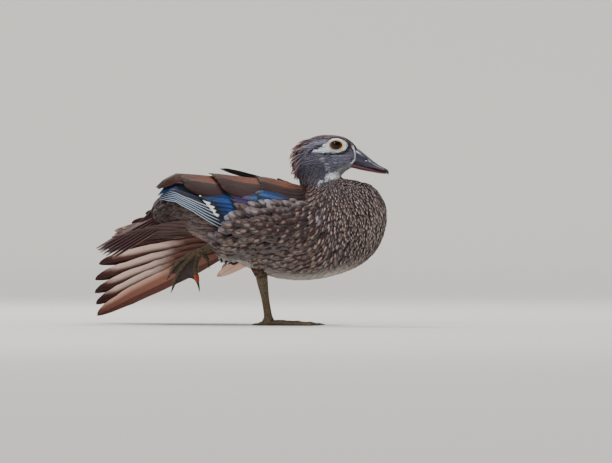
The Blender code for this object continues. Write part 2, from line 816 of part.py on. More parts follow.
def left_tertials():
    """Inner feathers of the stretched wing, that show above the back."""
    start, end = LEFT_TERTIAL_ROOTS
    core = tube([start, (start + end) / 2, end], [2.2] * 3, [1.6] * 3, sides=8)
    vanes = []
    for i in range(5):
        f = i / 4
        root = start + (end - start) * (0.06 + 0.88 * f)
        vanes.append(free_vane(root, (-1, 0.06, 0.20 - 0.06 * f), (0.2, 0.35, 0.93), 74 - 4 * f, 20, 0.5, roll=-9))
    return core, vanes


def tail_frame(pitch):
    """Along the tail, across it and up from it, for its pitch in degrees and its roll."""
    turn, tilt = math.radians(pitch), math.radians(TAIL_ROLL)
    along = np.array([-math.cos(turn), 0, -math.sin(turn)])
    rise = np.array([-math.sin(turn), 0, math.cos(turn)])
    side = np.array([0, math.cos(tilt), 0]) + rise * math.sin(tilt)
    return along, side, unit(rise - side * (rise @ side))


def tail_fan():
    """Tail feathers in a roof, the middle pair on top."""
    along, side, up = tail_frame(TAIL_PITCH)
    root = TAIL_ROOT + along * 12
    core = tube([root - along * 2, root + along * 12, root + along * 27], [9, 8.5, 7], [7.4, 7.2, 6.6],
                up=up, sides=12)
    vanes = []
    for k in range(-TAIL_PAIRS, TAIL_PAIRS):
        out = abs(k + 0.5) / TAIL_PAIRS
        spread = math.radians(TAIL_HALF_SPREAD) * (k + 0.5) / TAIL_PAIRS
        drop = math.radians(TAIL_DROP) * out
        way = along * math.cos(spread) * math.cos(drop) + side * math.sin(spread) - up * math.sin(drop)
        stack = 2 * abs(k + 0.5) + (0 if k < 0 else 1) - 1
        start = root + side * (k + 0.5) * 0.9 - up * (TAIL_STACK * (stack - TAIL_PAIRS + 0.5))
        vanes.append(free_vane(start, way, up, TAIL_LENGTH - 12 - 11 * out**2, 17, 0.5, droop=2, crown=0.008))
    return core, vanes


def tail_tufts(root, pitch, length, side):
    """Long soft coverts in two tiers over or under the tail's roots, the middle one outermost."""
    along, across, up = tail_frame(pitch)
    up = up * side
    root = np.array(root)
    pad = tube([root - along * 9, root, root + along * 12], [11, 10.5, 8], [3.4, 3.4, 2.8], up=up, sides=10)
    tufts = []
    for k in range(-2, 3):
        f = k / 2
        stack = 2 * abs(k) - (k > 0)
        start = root + along * 5 + across * f * 8 + up * (1.9 - 1.05 * stack)
        way = along + across * f * 0.13
        tufts.append(free_vane(start, way, up, length - 7 * abs(f), 13, 0.5, droop=1.0, crown=0.008))
    return pad, tufts


def make_tail(torso):
    near = grown(torso)
    core, vanes = tail_fan()
    tail = union(core, vanes)
    cut(tail, near)
    finish(tail, "tail_feathers", "flight")
    for name, form in TAIL_COVERTS.items():
        pad, tufts = tail_tufts(**form)
        made = union(pad, tufts)
        cut(made, near)
        cut_by(made, tail)
        finish(made, "tail_coverts_" + name, "flank")
    bpy.data.objects.remove(near)


def toe(path, widths, heights):
    """A toe that lies on the floor, flat beneath, along a path of x and y."""
    path = np.column_stack([np.asarray(path, float), 0.8 * np.asarray(heights, float)])
    return tube(path, widths, heights, sides=8, flat=0.2)


def web(first, second, thickness, sag, up, columns=3):
    """Skin between two toes, each a path of the same count of points, its free edge hollow."""
    first, second = np.asarray(first, float), np.asarray(second, float)
    u = np.linspace(0.04, 0.96, columns)[None, :, None]
    s = np.linspace(0, 1, len(first))[:, None, None]
    sheet = first[:, None] * (1 - u) + second[:, None] * u
    back = unit((first[0] + second[0]) - (first[-1] + second[-1]))
    sheet = sheet + back * sag * s**2 * 4 * u * (1 - u)
    half = np.asarray(up, float) * thickness / 2
    top, low = sheet + half, sheet - half
    return loft(np.concatenate([top, low[:, ::-1]], axis=1))


def claw(base, way, length, radius, curl, up):
    """A claw that narrows and curls away from up."""
    way, up = unit(way), np.asarray(up, float)
    s = np.array([0, 0.35, 0.7, 1.0])
    path = base + way * length * s[:, None] - up * curl * (s**2)[:, None]
    return tube(path, radius * np.array([1, 0.85, 0.55, 0.2]), radius * np.array([1, 0.85, 0.55, 0.2]),
                up=up, sides=6)


TOES = {
    "inner": (27, 38),
    "middle": (1, 47),
    "outer": (-23, 44),
}


def make_right_leg(torso):
    """The standing leg, its foot flat on the floor."""
    hock, ankle = np.array(HOCK), np.array([0, -FOOT_FROM_MIDLINE, 0.0])
    shank = tube([hock + (-4, -12, 20), hock + (-2, -5, 9), hock + (0, 0, 0)], [13, 9.5, 6], [11, 8, 5.5],
                 up=(1, 0, 0), steps=7)
    cut_by(shank, torso)
    foot = right_foot(ankle)
    low = ankle + (0, 0, 5)
    tarsus = tube([hock + (-0.5, -1.0, 3), hock + (0, 0.5, -3), hock * 0.5 + low * 0.5, low + (-0.6, 0, 6), low],
                  [4.2, 4.6, 2.9, 3.0, 3.4], [5.2, 5.4, 3.7, 3.8, 4.4], up=(1, 0, 0), steps=9)
    for item in (shank, foot, torso):
        cut_by(tarsus, item)
    finish(shank, "leg_right_shank", "flank")
    finish(tarsus, "leg_right_tarsus", "skin")
    finish(foot, "foot_right", "skin")


def right_foot(ankle):
    pad = tube([ankle + (0, 0, 0.0), ankle + (0, 0, 3), ankle + (0, 0, 7), ankle + (0, 0, 8.5)],
               [5.2, 5.6, 4.2, 3.0], [6.2, 6.4, 4.6, 3.4], up=(1, 0, 0), sides=10)
    pieces = []
    paths = {}
    for name, (angle, length) in TOES.items():
        way = np.array([math.cos(math.radians(angle)), math.sin(math.radians(angle))])
        s = np.array([0.0, 0.25, 0.5, 0.78, 1.0])
        path = ankle[:2] + way * length * s[:, None]
        pieces.append(toe(path, [3.2, 2.8, 2.6, 2.2, 1.3], [3.4, 2.8, 2.5, 2.1, 1.2]))
        paths[name] = np.column_stack([path, np.full(len(s), 0.95)])
        end = np.array([*path[-1], 1.4])
        nail = claw(end + np.array([*way, 0]) * GAP, (*way, 0), 6, 1.2, 0.6, (0, 0, 1))
        finish(nail, "claw_right_" + name, "claw")
    for a, b in (("inner", "middle"), ("middle", "outer")):
        pieces.append(web(paths[a][1:], paths[b][1:], 0.8, 7, (0, 0, 1)))
    way = np.array([math.cos(math.radians(HIND_TOE[0])), math.sin(math.radians(HIND_TOE[0]))])
    path = ankle[:2] + way * np.array([[3], [7], [HIND_TOE[1]]])
    pieces.append(toe(path, [2.0, 1.8, 1.1], [2.6, 2.0, 1.1]))
    nail = claw(np.array([*path[-1], 1.4]) + np.array([*way, 0]) * GAP, (*way, 0), 4.5, 1.0, 0.5, (0, 0, 1))
    finish(nail, "claw_right_hind", "claw")
    return union(pad, pieces)


def make_left_leg(torso):
    """The stretched leg: its foot hangs behind, half closed."""
    hock, base = np.array(LEFT_HOCK), np.array(LEFT_TOE_BASE)
    shank = tube([hock + (30, -16, 4), hock + (14, -8, 3), hock], [13, 9.5, 5.5], [13, 9, 5.5], steps=7)
    cut_by(shank, torso)
    tarsus = tube([hock + (4, -2, 1), hock, (hock + base) / 2, base], [4.2, 4.4, 2.8, 3.0], [5.0, 5.2, 3.6, 3.4],
                  steps=8)
    cut_by(tarsus, shank)
    knuckle = ellipsoid(base + unit(base - hock) * 2.5, (4.6, 4.6, 4.2), 12, 8)
    pieces, paths = [], {}
    palm = unit(np.array([0.55, -0.75, 0.25]))
    for name, tip in LEFT_TOE_TIPS.items():
        tip = np.array(tip)
        s = np.array([0.0, 0.25, 0.5, 0.75, 1.0])[:, None]
        path = base + (tip - base) * s + LEFT_TOE_ARCH * 4 * s * (1 - s)
        pieces.append(tube(path, [3.0, 2.6, 2.4, 2.1, 1.2], [3.0, 2.6, 2.3, 2.0, 1.1], up=palm, sides=8))
        paths[name] = path
        way = unit(path[-1] - path[-2])
        nail = claw(path[-1] + way * GAP, way, 6, 1.1, 1.2, palm)
        finish(nail, "claw_left_" + name, "claw")
    for a, b in (("inner", "middle"), ("middle", "outer")):
        pieces.append(web(paths[a][1:], paths[b][1:], 0.8, 8, palm))
    start = base + np.array([2.0, 0, -4.0])
    path = np.array([start, start + (3.0, -1.0, -4.0), start + (4.0, -2.0, -8.0)])
    pieces.append(tube(path, [1.9, 1.7, 1.0], [1.9, 1.7, 1.0], up=palm, sides=8))
    way = unit(path[-1] - path[-2])
    nail = claw(path[-1] + way * GAP, way, 4.2, 0.9, 0.8, palm)
    finish(nail, "claw_left_hind", "claw")
    foot = union(knuckle, pieces)
    cut_by(tarsus, foot)
    finish(shank, "leg_left_shank", "flank")
    finish(tarsus, "leg_left_tarsus", "skin")
    finish(foot, "foot_left", "skin")


clear_scene()
DUCK = collection("wood_duck")
WORKSHOP = collection("workshop")
WORKSHOP.hide_render = True
STAND_POINT = bpy.data.objects.new("stand_point", None)
DUCK.objects.link(STAND_POINT)
STAND_POINT.location = (0, FOOT_FROM_MIDLINE * MM, 0)
body, throat, skull = make_body()
skull = make_head(skull)
make_bill(skull)
make_right_wing(body, throat)
make_left_wing(body)
make_tail(body)
make_right_leg(body)
make_left_leg(body)
finish(body, "torso", "flank")
finish(throat, "neck", "face")
for part in DUCK.objects:
    if part.type == "MESH":
        part.data.transform(Matrix.Scale(MM, 4))
for left_over in list(WORKSHOP.objects):
    bpy.data.objects.remove(left_over)
bpy.data.collections.remove(WORKSHOP)
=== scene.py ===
import math

import bmesh
import bpy
import numpy as np
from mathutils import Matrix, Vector
from mathutils.bvhtree import BVHTree
from mathutils.kdtree import KDTree


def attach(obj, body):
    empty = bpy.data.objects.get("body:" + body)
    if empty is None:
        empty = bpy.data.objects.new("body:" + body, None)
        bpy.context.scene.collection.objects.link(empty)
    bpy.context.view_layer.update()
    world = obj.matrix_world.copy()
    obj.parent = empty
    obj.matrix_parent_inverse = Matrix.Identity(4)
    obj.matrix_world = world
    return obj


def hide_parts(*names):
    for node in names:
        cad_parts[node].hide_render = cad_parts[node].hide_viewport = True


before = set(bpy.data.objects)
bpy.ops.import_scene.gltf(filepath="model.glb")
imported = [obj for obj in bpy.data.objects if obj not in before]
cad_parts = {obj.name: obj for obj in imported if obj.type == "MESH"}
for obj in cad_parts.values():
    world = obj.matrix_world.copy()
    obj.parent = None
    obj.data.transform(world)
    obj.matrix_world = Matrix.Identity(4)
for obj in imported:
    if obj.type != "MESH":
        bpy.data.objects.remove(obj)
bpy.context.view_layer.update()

# A wood duck hen stretching. Shapes are worked out in millimetres, with the body's midline at
# y = 0, and each finished mesh is moved to the frame and scaled to metres by to_mesh.
MM = 0.001
MIDLINE = np.array([0.0, 7.0, 0.0])
RNG = np.random.default_rng(71)

# Rows of the torso: x, centre height, half height, half width
TORSO = np.array([
    (-107, 104.4, 6, 6.5), (-104, 105, 11, 12.5), (-98, 106.4, 16, 17.5), (-86, 109, 20.6, 23),
    (-71, 107.2, 23.2, 28), (-54, 102.8, 27.8, 33.5), (-37, 97.2, 33.2, 38.5), (-20, 92, 37.9, 42.5),
    (-3, 88.5, 41.8, 45), (13, 85.6, 42.7, 47), (30, 83.8, 42.4, 48.5), (47, 87.5, 44.7, 48.5),
    (63, 92, 45.9, 47), (78, 94.2, 42.8, 43), (91, 96.9, 37.6, 36), (100.5, 98.6, 29, 28),
    (106, 100, 19, 19), (109, 101.5, 9, 10),
])
# Rows of the head: x, top, bottom, half width
HEAD = np.array([
    (23, 156, 146, 4), (25, 160.5, 142, 8), (30, 168, 136, 12.5), (37.5, 174, 131, 16),
    (46.5, 177.5, 128, 17.8), (56, 178.2, 130, 17.6), (65, 177.6, 136.5, 16.2),
    (71.6, 175.8, 142.8, 14.2), (77.5, 172, 146, 11), (82.5, 167.2, 148.4, 8),
])
# Rows of the neck: x, height, half length, half width
NECK = np.array([(56, 118, 24, 27), (52, 126, 22, 22.5), (49, 135, 20.5, 18.5), (47, 146, 20, 17)])
# How deep the coat lies over the skin on each of them
TORSO_COAT, HEAD_COAT, NECK_COAT = 2.2, 0.9, 1.4
# Side of the remesh's cells
VOXEL = 1.5

# The eyeballs, and the mounds round them
EYE = dict(x=63.1, z=167.7, radius=7.2, from_midline=10.0)
ORBIT = dict(from_midline=8.4, sizes=(12.0, 6.6, 8.8))

# The stretched wing's joints, and the ways that its top side and its feathers face
SHOULDER = np.array([45.0, 22.0, 104.0])
ELBOW = np.array([20.0, 72.0, 126.0])
WRIST = np.array([8.0, 108.0, 85.0])
FINGERTIP = np.array([-34.0, 128.0, 63.0])
WING_TOP = np.array([0.024, 0.763, 0.647])
WING_BACK = np.array([-0.9995, 0.0314, 0.0])
# Each primary's angle and length, from the innermost to the leading one
PRIMARIES = [
    (15, 110), (10.5, 117), (6, 125), (1, 133), (-4.5, 141),
    (-11, 147), (-17, 151), (-22, 152), (-26.5, 152), (-31, 153),
]


def rgb(colour):
    """An 8-bit colour as the linear numbers that shaders take."""
    return np.array([(c / 255) ** 2.2 for c in colour])


def unit(v):
    """Each vector divided by its length."""
    v = np.asarray(v, float)
    return v / np.maximum(np.linalg.norm(v, axis=-1, keepdims=True), 1e-9)


def ease(low, high, x):
    """Smooth step from 0 at low to 1 at high."""
    t = np.clip((np.asarray(x, float) - low) / (high - low), 0, 1)
    return t * t * (3 - 2 * t)


def turns(count):
    """Even turns round a full circle, in radians."""
    return np.arange(count) * 2 * math.pi / count


def heading(degrees):
    """The cosine and the sine of an angle."""
    return math.cos(math.radians(degrees)), math.sin(math.radians(degrees))


def smooth_rows(rows, count):
    """Even points along the Catmull-Rom curve through the rows."""
    rows = np.asarray(rows, float)
    ends = np.vstack([2 * rows[0] - rows[1], rows, 2 * rows[-1] - rows[-2]])
    place = np.linspace(0, len(rows) - 1, count)
    i = np.minimum(place.astype(int), len(rows) - 2)
    f = (place - i)[:, None]
    a, b, c, d = ends[i], ends[i + 1], ends[i + 2], ends[i + 3]
    return 0.5 * (2 * b + (c - a) * f + (2 * a - 5 * b + 4 * c - d) * f**2 + (3 * b - a - 3 * c + d) * f**3)


def read_points(mesh):
    """The mesh's points, in millimetres from the midline."""
    co = np.zeros(len(mesh.vertices) * 3, np.float32)
    mesh.vertices.foreach_get("co", co)
    return co.reshape(-1, 3).astype(float) / MM - MIDLINE


def set_tint(mesh, tint):
    """Each point's colour, as the attribute that the materials read."""
    layer = mesh.attributes.new("tint", "FLOAT_COLOR", "POINT")
    layer.data.foreach_set("color", np.column_stack([tint, np.ones(len(tint))]).astype(np.float32).ravel())


def to_mesh(name, points, quads, uv=None, bake=None, tint=None, mark=None):
    """A mesh object in the frame from whole arrays: points, quads as rows of four corners, the
    corners' places on the vane and on the unwrap, and each point's colour and mark."""
    mesh = bpy.data.meshes.new(name)
    points = (np.asarray(points, float) + MIDLINE) * MM
    quads = np.asarray(quads)
    mesh.vertices.add(len(points))
    mesh.vertices.foreach_set("co", points.astype(np.float32).ravel())
    mesh.loops.add(quads.size)
    mesh.polygons.add(len(quads))
    mesh.loops.foreach_set("vertex_index", quads.ravel().astype(np.int32))
    mesh.polygons.foreach_set("loop_start", (np.arange(len(quads)) * quads.shape[1]).astype(np.int32))
    mesh.update(calc_edges=True)
    mesh.validate()
    for title, place in (("OFBake", bake), ("vane", uv)):
        if place is not None:
            layer = mesh.uv_layers.new(name=title)
            layer.data.foreach_set("uv", np.asarray(place, np.float32)[quads.ravel()].ravel())
    if tint is not None:
        set_tint(mesh, tint)
    if mark is not None:
        layer = mesh.attributes.new("mark", "FLOAT", "POINT")
        layer.data.foreach_set("value", np.asarray(mark, np.float32))
    mesh.polygons.foreach_set("use_smooth", np.ones(len(quads), bool))
    made = bpy.data.objects.new(name, mesh)
    bpy.context.scene.collection.objects.link(made)
    return made


def tube_faces(stations, sides):
    """Quads of one tube of rings, and of the zipped caps at its two ends."""
    i, j = np.meshgrid(np.arange(stations - 1), np.arange(sides), indexing="ij")
    k = (j + 1) % sides
    side = np.stack([i * sides + j, i * sides + k, (i + 1) * sides + k, (i + 1) * sides + j], axis=-1)
    m = np.arange(sides // 2 - 1)
    cap = np.stack([m, m + 1, sides - 2 - m, sides - 1 - m], axis=-1)
    last = cap + (stations - 1) * sides
    return np.vstack([side.reshape(-1, 4), cap[:, ::-1], last])


# Side of a small feather's patch on the bake map
BAKE_PATCH = 0.003


def flat_places(points):
    """Places of points on the plane that they lie nearest to, scaled to the unit square."""
    centred = points - points.mean(axis=0)
    _, _, axes = np.linalg.svd(centred, full_matrices=False)
    flat = centred @ axes[:2].T
    low, high = flat.min(axis=0), flat.max(axis=0)
    return 0.02 + 0.96 * (flat - low) / (high - low)


def turned_out(rings, *others):
    """The same rings with each tube's winding such that its faces point outwards: where the sum
    of its faces' triple products, which is its volume, is negative, the rings are reversed."""
    count, stations, sides = rings.shape[:3]
    faces = tube_faces(stations, sides)
    flat = rings.reshape(count, -1, 3)
    centre = flat.mean(axis=1, keepdims=True)
    a, b, c, d = (flat[:, faces[:, i]] - centre for i in range(4))
    volume = (np.cross(a, b) * c).sum(axis=(1, 2)) + (np.cross(a, c) * d).sum(axis=(1, 2))
    back = volume < 0
    results = []
    for item in (rings, *others):
        item = item.copy()
        item[back] = item[back][:, :, ::-1]
        results.append(item)
    return results


def tubes(name, rings, uv, tint=None, mark=None, bake=None):
    """One mesh of many closed tubes. Rings are (tubes, stations, sides, 3). Each tube is a patch
    of the bake map at its own place."""
    rings = np.asarray(rings, float)
    count, stations, sides = rings.shape[:3]
    extras = [np.broadcast_to(uv, (count, stations, sides, 2))]
    extras.append(np.zeros((count, stations, sides, 3)) if tint is None else tint)
    extras.append(np.zeros((count, stations, sides, 1)) if mark is None else mark[..., None])
    rings, uv, shade, marks = turned_out(rings, *extras)
    faces = tube_faces(stations, sides)
    size = stations * sides
    quads = (faces[None] + (np.arange(count) * size)[:, None, None]).reshape(-1, 4)
    patch = None if bake is None else (bake[:, None, None] + (uv - 0.5) * BAKE_PATCH).reshape(-1, 2)
    return to_mesh(name, rings.reshape(-1, 3), quads, uv.reshape(-1, 2), patch,
                   None if tint is None else shade.reshape(-1, 3), None if mark is None else marks.ravel())


# Materials

class Nodes:
    """A node tree in the making, with a short word for each kind of node that it takes. Where a
    value is wanted, a number or an 8-bit colour is set on the socket, and a socket is linked."""

    def __init__(self, tree):
        self.nodes, self.links = tree.nodes, tree.links

    def give(self, value, socket):
        """Sets a number or an 8-bit colour on the socket, or links another node's socket to it."""
        if isinstance(value, (int, float)):
            socket.default_value = value
        elif isinstance(value, tuple):
            socket.default_value = (*rgb(value), 1)
        else:
            self.links.new(value, socket)

    def maths(self, operation, *values, clamp=False):
        """The operation on the values, kept from 0 to 1 where it is clamped."""
        node = self.nodes.new("ShaderNodeMath")
        node.operation, node.use_clamp = operation, clamp
        for value, socket in zip(values, node.inputs):
            self.give(value, socket)
        return node.outputs[0]

    def plus(self, first, second):
        return self.maths("ADD", first, second)

    def minus(self, first, second, clamp=False):
        return self.maths("SUBTRACT", first, second, clamp=clamp)

    def times(self, first, second, clamp=False):
        return self.maths("MULTIPLY", first, second, clamp=clamp)

    def step(self, value, start, slope):
        """0 up to the start, then rising by the slope to 1."""
        return self.times(self.minus(value, start), slope, clamp=True)

    def fall(self, stop, value, slope):
        """1, then falling by the slope to 0 at the stop."""
        return self.times(self.minus(stop, value), slope, clamp=True)

    def mix(self, factor, first, second, blend="MIX"):
        """The first colour, moved by the factor to the second one."""
        node = self.nodes.new("ShaderNodeMix")
        node.data_type, node.blend_type = "RGBA", blend
        for value, i in ((factor, 0), (first, 6), (second, 7)):
            self.give(value, node.inputs[i])
        return node.outputs[2]

    def shaded(self, colour, value, amount, base):
        """The colour times the base plus the amount of a value from 0 to 1."""
        return self.mix(1.0, colour, self.plus(self.times(value, amount), base), "MULTIPLY")

    def ramp(self, factor, stops):
        """A colour ramp: stops of place and 8-bit colour."""
        node = self.nodes.new("ShaderNodeValToRGB")
        elements = node.color_ramp.elements
        while len(elements) < len(stops):
            elements.new(0.5)
        for element, (place, colour) in zip(elements, stops):
            element.position = place
            element.color = (*rgb(colour), 1)
        self.links.new(factor, node.inputs[0])
        return node.outputs[0]

    def noise(self, scale, detail=3.0):
        """Clouds from 0 to 1 in the object's space."""
        node = self.nodes.new("ShaderNodeTexNoise")
        for name, value in (("Scale", scale), ("Detail", detail), ("Roughness", 0.55)):
            node.inputs[name].default_value = value
        self.links.new(self.nodes.new("ShaderNodeTexCoord").outputs["Object"], node.inputs["Vector"])
        return node.outputs[0]

    def attribute(self, name, output):
        node = self.nodes.new("ShaderNodeAttribute")
        node.attribute_name = name
        return node.outputs[output]

    def split(self, vector):
        """The three numbers of a vector."""
        parts = self.nodes.new("ShaderNodeSeparateXYZ")
        self.links.new(vector, parts.inputs[0])
        return parts.outputs

    def in_object(self):
        """x, y and z in the object's space, in metres."""
        return self.split(self.nodes.new("ShaderNodeTexCoord").outputs["Object"])

    def on_vane(self):
        """The place across and the place along a feather, from its own map."""
        place = self.nodes.new("ShaderNodeUVMap")
        place.uv_map = "vane"
        return self.split(place.outputs[0])[:2]


class Finish(Nodes):
    """A material in the making: the nodes, and the shader that they feed."""

    def __init__(self, name, roughness, metallic=0.0, coat=0.0, sheen=0.0, specular=0.35):
        self.made = bpy.data.materials.new(name)
        self.made.use_nodes = True
        super().__init__(self.made.node_tree)
        self.shader = self.nodes["Principled BSDF"]
        for title, value in (("Roughness", roughness), ("Metallic", metallic), ("Coat Weight", coat),
                             ("Sheen Weight", sheen), ("Specular IOR Level", specular)):
            self.shader.inputs[title].default_value = value

    def bump(self, height, strength, distance):
        """Bends the shader's normals by a height."""
        node = self.nodes.new("ShaderNodeBump")
        node.inputs["Strength"].default_value = strength
        node.inputs["Distance"].default_value = distance
        self.links.new(height, node.inputs["Height"])
        self.links.new(node.outputs[0], self.shader.inputs["Normal"])

    def paint(self, colour):
        """Takes the colour as the base colour, and gives the finished material."""
        self.links.new(colour, self.shader.inputs["Base Color"])
        return self.made

    def vane_detail(self, barbs):
        """The fine build of a feather with so many barbs: across, along, and the group's node."""
        across, along = self.on_vane()
        detail = self.nodes.new("ShaderNodeGroup")
        detail.node_tree = VANE_DETAIL
        for title, value in (("Barbs", barbs), ("Across", across), ("Along", along)):
            self.give(value, detail.inputs[title])
        return across, along, detail


def vane_detail_group():
    """Shader group of a feather's fine build. From the place across (0 to 1) and along it gives
    the shaft's mask, the barbs as slanting lines that leave the shaft, and a mask of the rim."""
    group = bpy.data.node_groups.new("vane_detail", "ShaderNodeTree")
    for name, value in (("Across", 0.5), ("Along", 0.5), ("Barbs", 60.0)):
        made = group.interface.new_socket(name, in_out="INPUT", socket_type="NodeSocketFloat")
        made.default_value = value
    for name in ("Shaft", "Barb", "Rim"):
        group.interface.new_socket(name, in_out="OUTPUT", socket_type="NodeSocketFloat")
    web = Nodes(group)
    ins, outs = group.nodes.new("NodeGroupInput"), group.nodes.new("NodeGroupOutput")
    off = web.maths("ABSOLUTE", web.minus(ins.outputs["Across"], 0.5))
    shaft = web.minus(1.0, web.times(off, 26.0), clamp=True)
    slanted = web.minus(ins.outputs["Along"], web.times(off, 0.55))
    wave = web.maths("SINE", web.times(web.times(slanted, ins.outputs["Barbs"]), 6.2832))
    barb = web.plus(web.times(wave, 0.5), 0.5)
    rim = web.minus(web.times(off, 8.0), 3.0, clamp=True)
    for name, value in (("Shaft", shaft), ("Barb", barb), ("Rim", rim)):
        group.links.new(value, outs.inputs[name])
    return group


VANE_DETAIL = vane_detail_group()
# How much a matt feather and a glossy one shine
MATT, GLOSSY = 0.14, 0.4


def coat_material(name, spot, spot_size, barbs=9.0):
    """Small feathers: the tint of their place, a pale spot near the end as strong as the mark, and fine barbs. The
    spot is an oval round three quarters of the way along."""
    web = Finish(name, 0.75, sheen=0.25, specular=MATT)
    across, along, detail = web.vane_detail(barbs)
    x = web.maths("DIVIDE", web.minus(across, 0.5), spot_size[0])
    y = web.maths("DIVIDE", web.minus(along, 0.76), spot_size[1])
    oval = web.minus(1.25, web.plus(web.times(x, x), web.times(y, y)), clamp=True)
    strength = web.times(oval, web.attribute("mark", "Fac"), clamp=True)
    colour = web.mix(strength, web.attribute("tint", "Color"), spot)
    colour = web.shaded(colour, detail.outputs["Barb"], 0.3, 0.78)
    web.bump(detail.outputs["Barb"], 0.35, 0.0002)
    return web.paint(web.shaded(colour, web.noise(900.0), 0.7, 0.62))


def vane_material(name, inner, outer=None, rim=None, roughness=0.5, metallic=0.0, barbs=70.0, shaft=None,
                  cloud=0.35, band=None, top=None):
    """Flight feathers: a ramp along the inner web and one along the outer web, a coloured outer rim, a band of
    another tone on the outer web, which on the primaries is painted light shining through the web, the shaft, and
    barbs in the colour and the bump.
    Where top is given, the side that faces up has those two ramps instead."""
    web = Finish(name, roughness, metallic, specular=GLOSSY if metallic else MATT)
    across, along, detail = web.vane_detail(barbs)
    moved = web.plus(along, web.times(web.minus(web.noise(160.0), 0.5), 0.10))
    moved = web.minus(moved, web.times(web.maths("ABSOLUTE", web.minus(across, 0.5)), 0.12), clamp=True)
    side = web.fall(0.53, across, 14.0)
    colour = web.ramp(moved, inner)
    if outer:
        colour = web.mix(side, colour, web.ramp(moved, outer))
    # The band is painted light: the glow of light through a thin web.
    if band:
        tone, start, stop, reach = band
        mask = web.times(web.step(moved, start, 7.0), web.fall(stop, moved, 12.0))
        colour = web.mix(web.times(mask, web.fall(reach, across, 6.0)), colour, tone)
    if rim:
        colour = web.mix(web.fall(rim[0], across, 14.0), colour, rim[1])
    if top:
        upper = web.mix(side, web.ramp(moved, top[0]), web.ramp(moved, top[1]))
        colour = web.mix(web.attribute("mark", "Fac"), colour, upper)
    if shaft:
        colour = web.mix(web.times(detail.outputs["Shaft"], 0.85), colour, shaft)
    colour = web.shaded(colour, detail.outputs["Barb"], 0.22, 0.85)
    web.bump(web.plus(detail.outputs["Barb"], web.times(detail.outputs["Shaft"], 3.0)), 0.4, 0.00025)
    return web.paint(web.shaded(colour, web.noise(500.0), cloud, 1 - cloud / 2))


def dress(piece, material, slot, *nodes):
    """Gives a piece its material and its body, and hides the frame's nodes that it stands for. The slot is not used.
    """
    piece.data.materials.clear()
    piece.data.materials.append(material)
    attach(piece, "root")
    if nodes:
        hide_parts(*nodes)
    return piece


# The skin

def loft_points(rows, sides, power, shrink=0.0):
    """Upright superellipses at x, from x, centre height, half height, half width: across and up
    are the cosine and the sine to the power 2 over the power, times the half sizes."""
    turn = turns(sides)
    c, s = np.cos(turn), np.sin(turn)
    across, up = np.sign(c) * abs(c) ** (2 / power), np.sign(s) * abs(s) ** (2 / power)
    x, z, h, w = (rows[:, i][:, None] for i in range(4))
    h, w = np.maximum(h - shrink, 0.8), np.maximum(w - shrink, 0.8)
    return np.stack(np.broadcast_arrays(x, across * w, z + up * h), axis=-1)


def between(rows):
    """Rows of x, top, bottom and half width as rows of x, centre height, half height, half width."""
    x, top, bottom, wide = rows.T
    return np.column_stack([x, (top + bottom) / 2, (top - bottom) / 2, wide])


def ball(centre, sizes, rows=14, columns=24):
    """A closed ball: rings of latitude from pole to pole, the end rings very small."""
    lat = np.linspace(-math.pi / 2 + 0.03, math.pi / 2 - 0.03, rows)[:, None]
    turn = turns(columns)[None]
    parts = np.broadcast_arrays(np.sin(lat), np.cos(lat) * np.cos(turn), np.cos(lat) * np.sin(turn))
    return np.asarray(centre) + np.stack(parts, axis=-1) * np.asarray(sizes)


def stitched(parts):
    """Points and quads of several tubes of rings, as one pair of arrays."""
    points, quads, base = [], [], 0
    for rings in parts:
        points.append(rings.reshape(-1, 3))
        quads.append(tube_faces(*rings.shape[:2]) + base)
        base += len(points[-1])
    return np.vstack(points), np.vstack(quads)


def eye_centre(side):
    """The centre of the eyeball, on the right for -1 and on the left for 1."""
    return np.array([EYE["x"], side * EYE["from_midline"], EYE["z"]])


def neck_tube():
    """Level ovals: x and y are the cosine and the sine times the half sizes, under the coat."""
    c, s = np.cos(turns(32)), np.sin(turns(32))
    return np.stack([
        np.stack([x + c * (length - NECK_COAT), s * (width - NECK_COAT), np.full(32, z)], axis=1)
        for x, z, length, width in smooth_rows(NECK, 12)
    ])


def press_eyes(points):
    """Hollows for the eyes: points in an eye's ball are moved out from its centre to just under
    its surface."""
    for side in (-1, 1):
        centre = eye_centre(side)
        away = points - centre
        far = np.linalg.norm(away, axis=1)
        sunk = centre + away / far[:, None] * np.minimum(far, EYE["radius"] - 0.4)[:, None]
        inside = (far < EYE["radius"] + 0.25) & (side * (points[:, 1] - centre[1]) > 0)
        points[inside] = sunk[inside]


def make_skin():
    """Torso, neck and head as lofts, with the mounds round the eyes and the fleshy limbs, fused
    by a voxel remesh, then smoothed, with hollows for the eyes."""
    parts = [
        loft_points(smooth_rows(TORSO, 60), 48, 2.15, TORSO_COAT), neck_tube(),
        loft_points(smooth_rows(between(HEAD.astype(float)), 36), 36, 2.2, HEAD_COAT),
    ]
    for side in (-1, 1):
        parts.append(ball((EYE["x"], side * ORBIT["from_midline"], EYE["z"]), ORBIT["sizes"]))
    parts += [limb(path, widths, depths, up=(0.1, 0.3, 1)) for path, widths, depths in LIMBS]
    skin = to_mesh("skin", *stitched(parts))
    work = bmesh.new()
    work.from_mesh(skin.data)
    bmesh.ops.recalc_face_normals(work, faces=work.faces)
    work.to_mesh(skin.data)
    work.free()
    step = skin.modifiers.new("fuse", "REMESH")
    step.mode, step.voxel_size = "VOXEL", VOXEL * MM
    step = skin.modifiers.new("soften", "SMOOTH")
    step.factor, step.iterations = 0.5, 10
    mesh = bpy.data.meshes.new_from_object(skin.evaluated_get(bpy.context.evaluated_depsgraph_get()))
    skin.modifiers.clear()
    skin.data = mesh
    mesh.name = "skin"
    points = read_points(mesh)
    press_eyes(points)
    mesh.vertices.foreach_set("co", ((points + MIDLINE) * MM).astype(np.float32).ravel())
    mesh.update()
    return skin, points


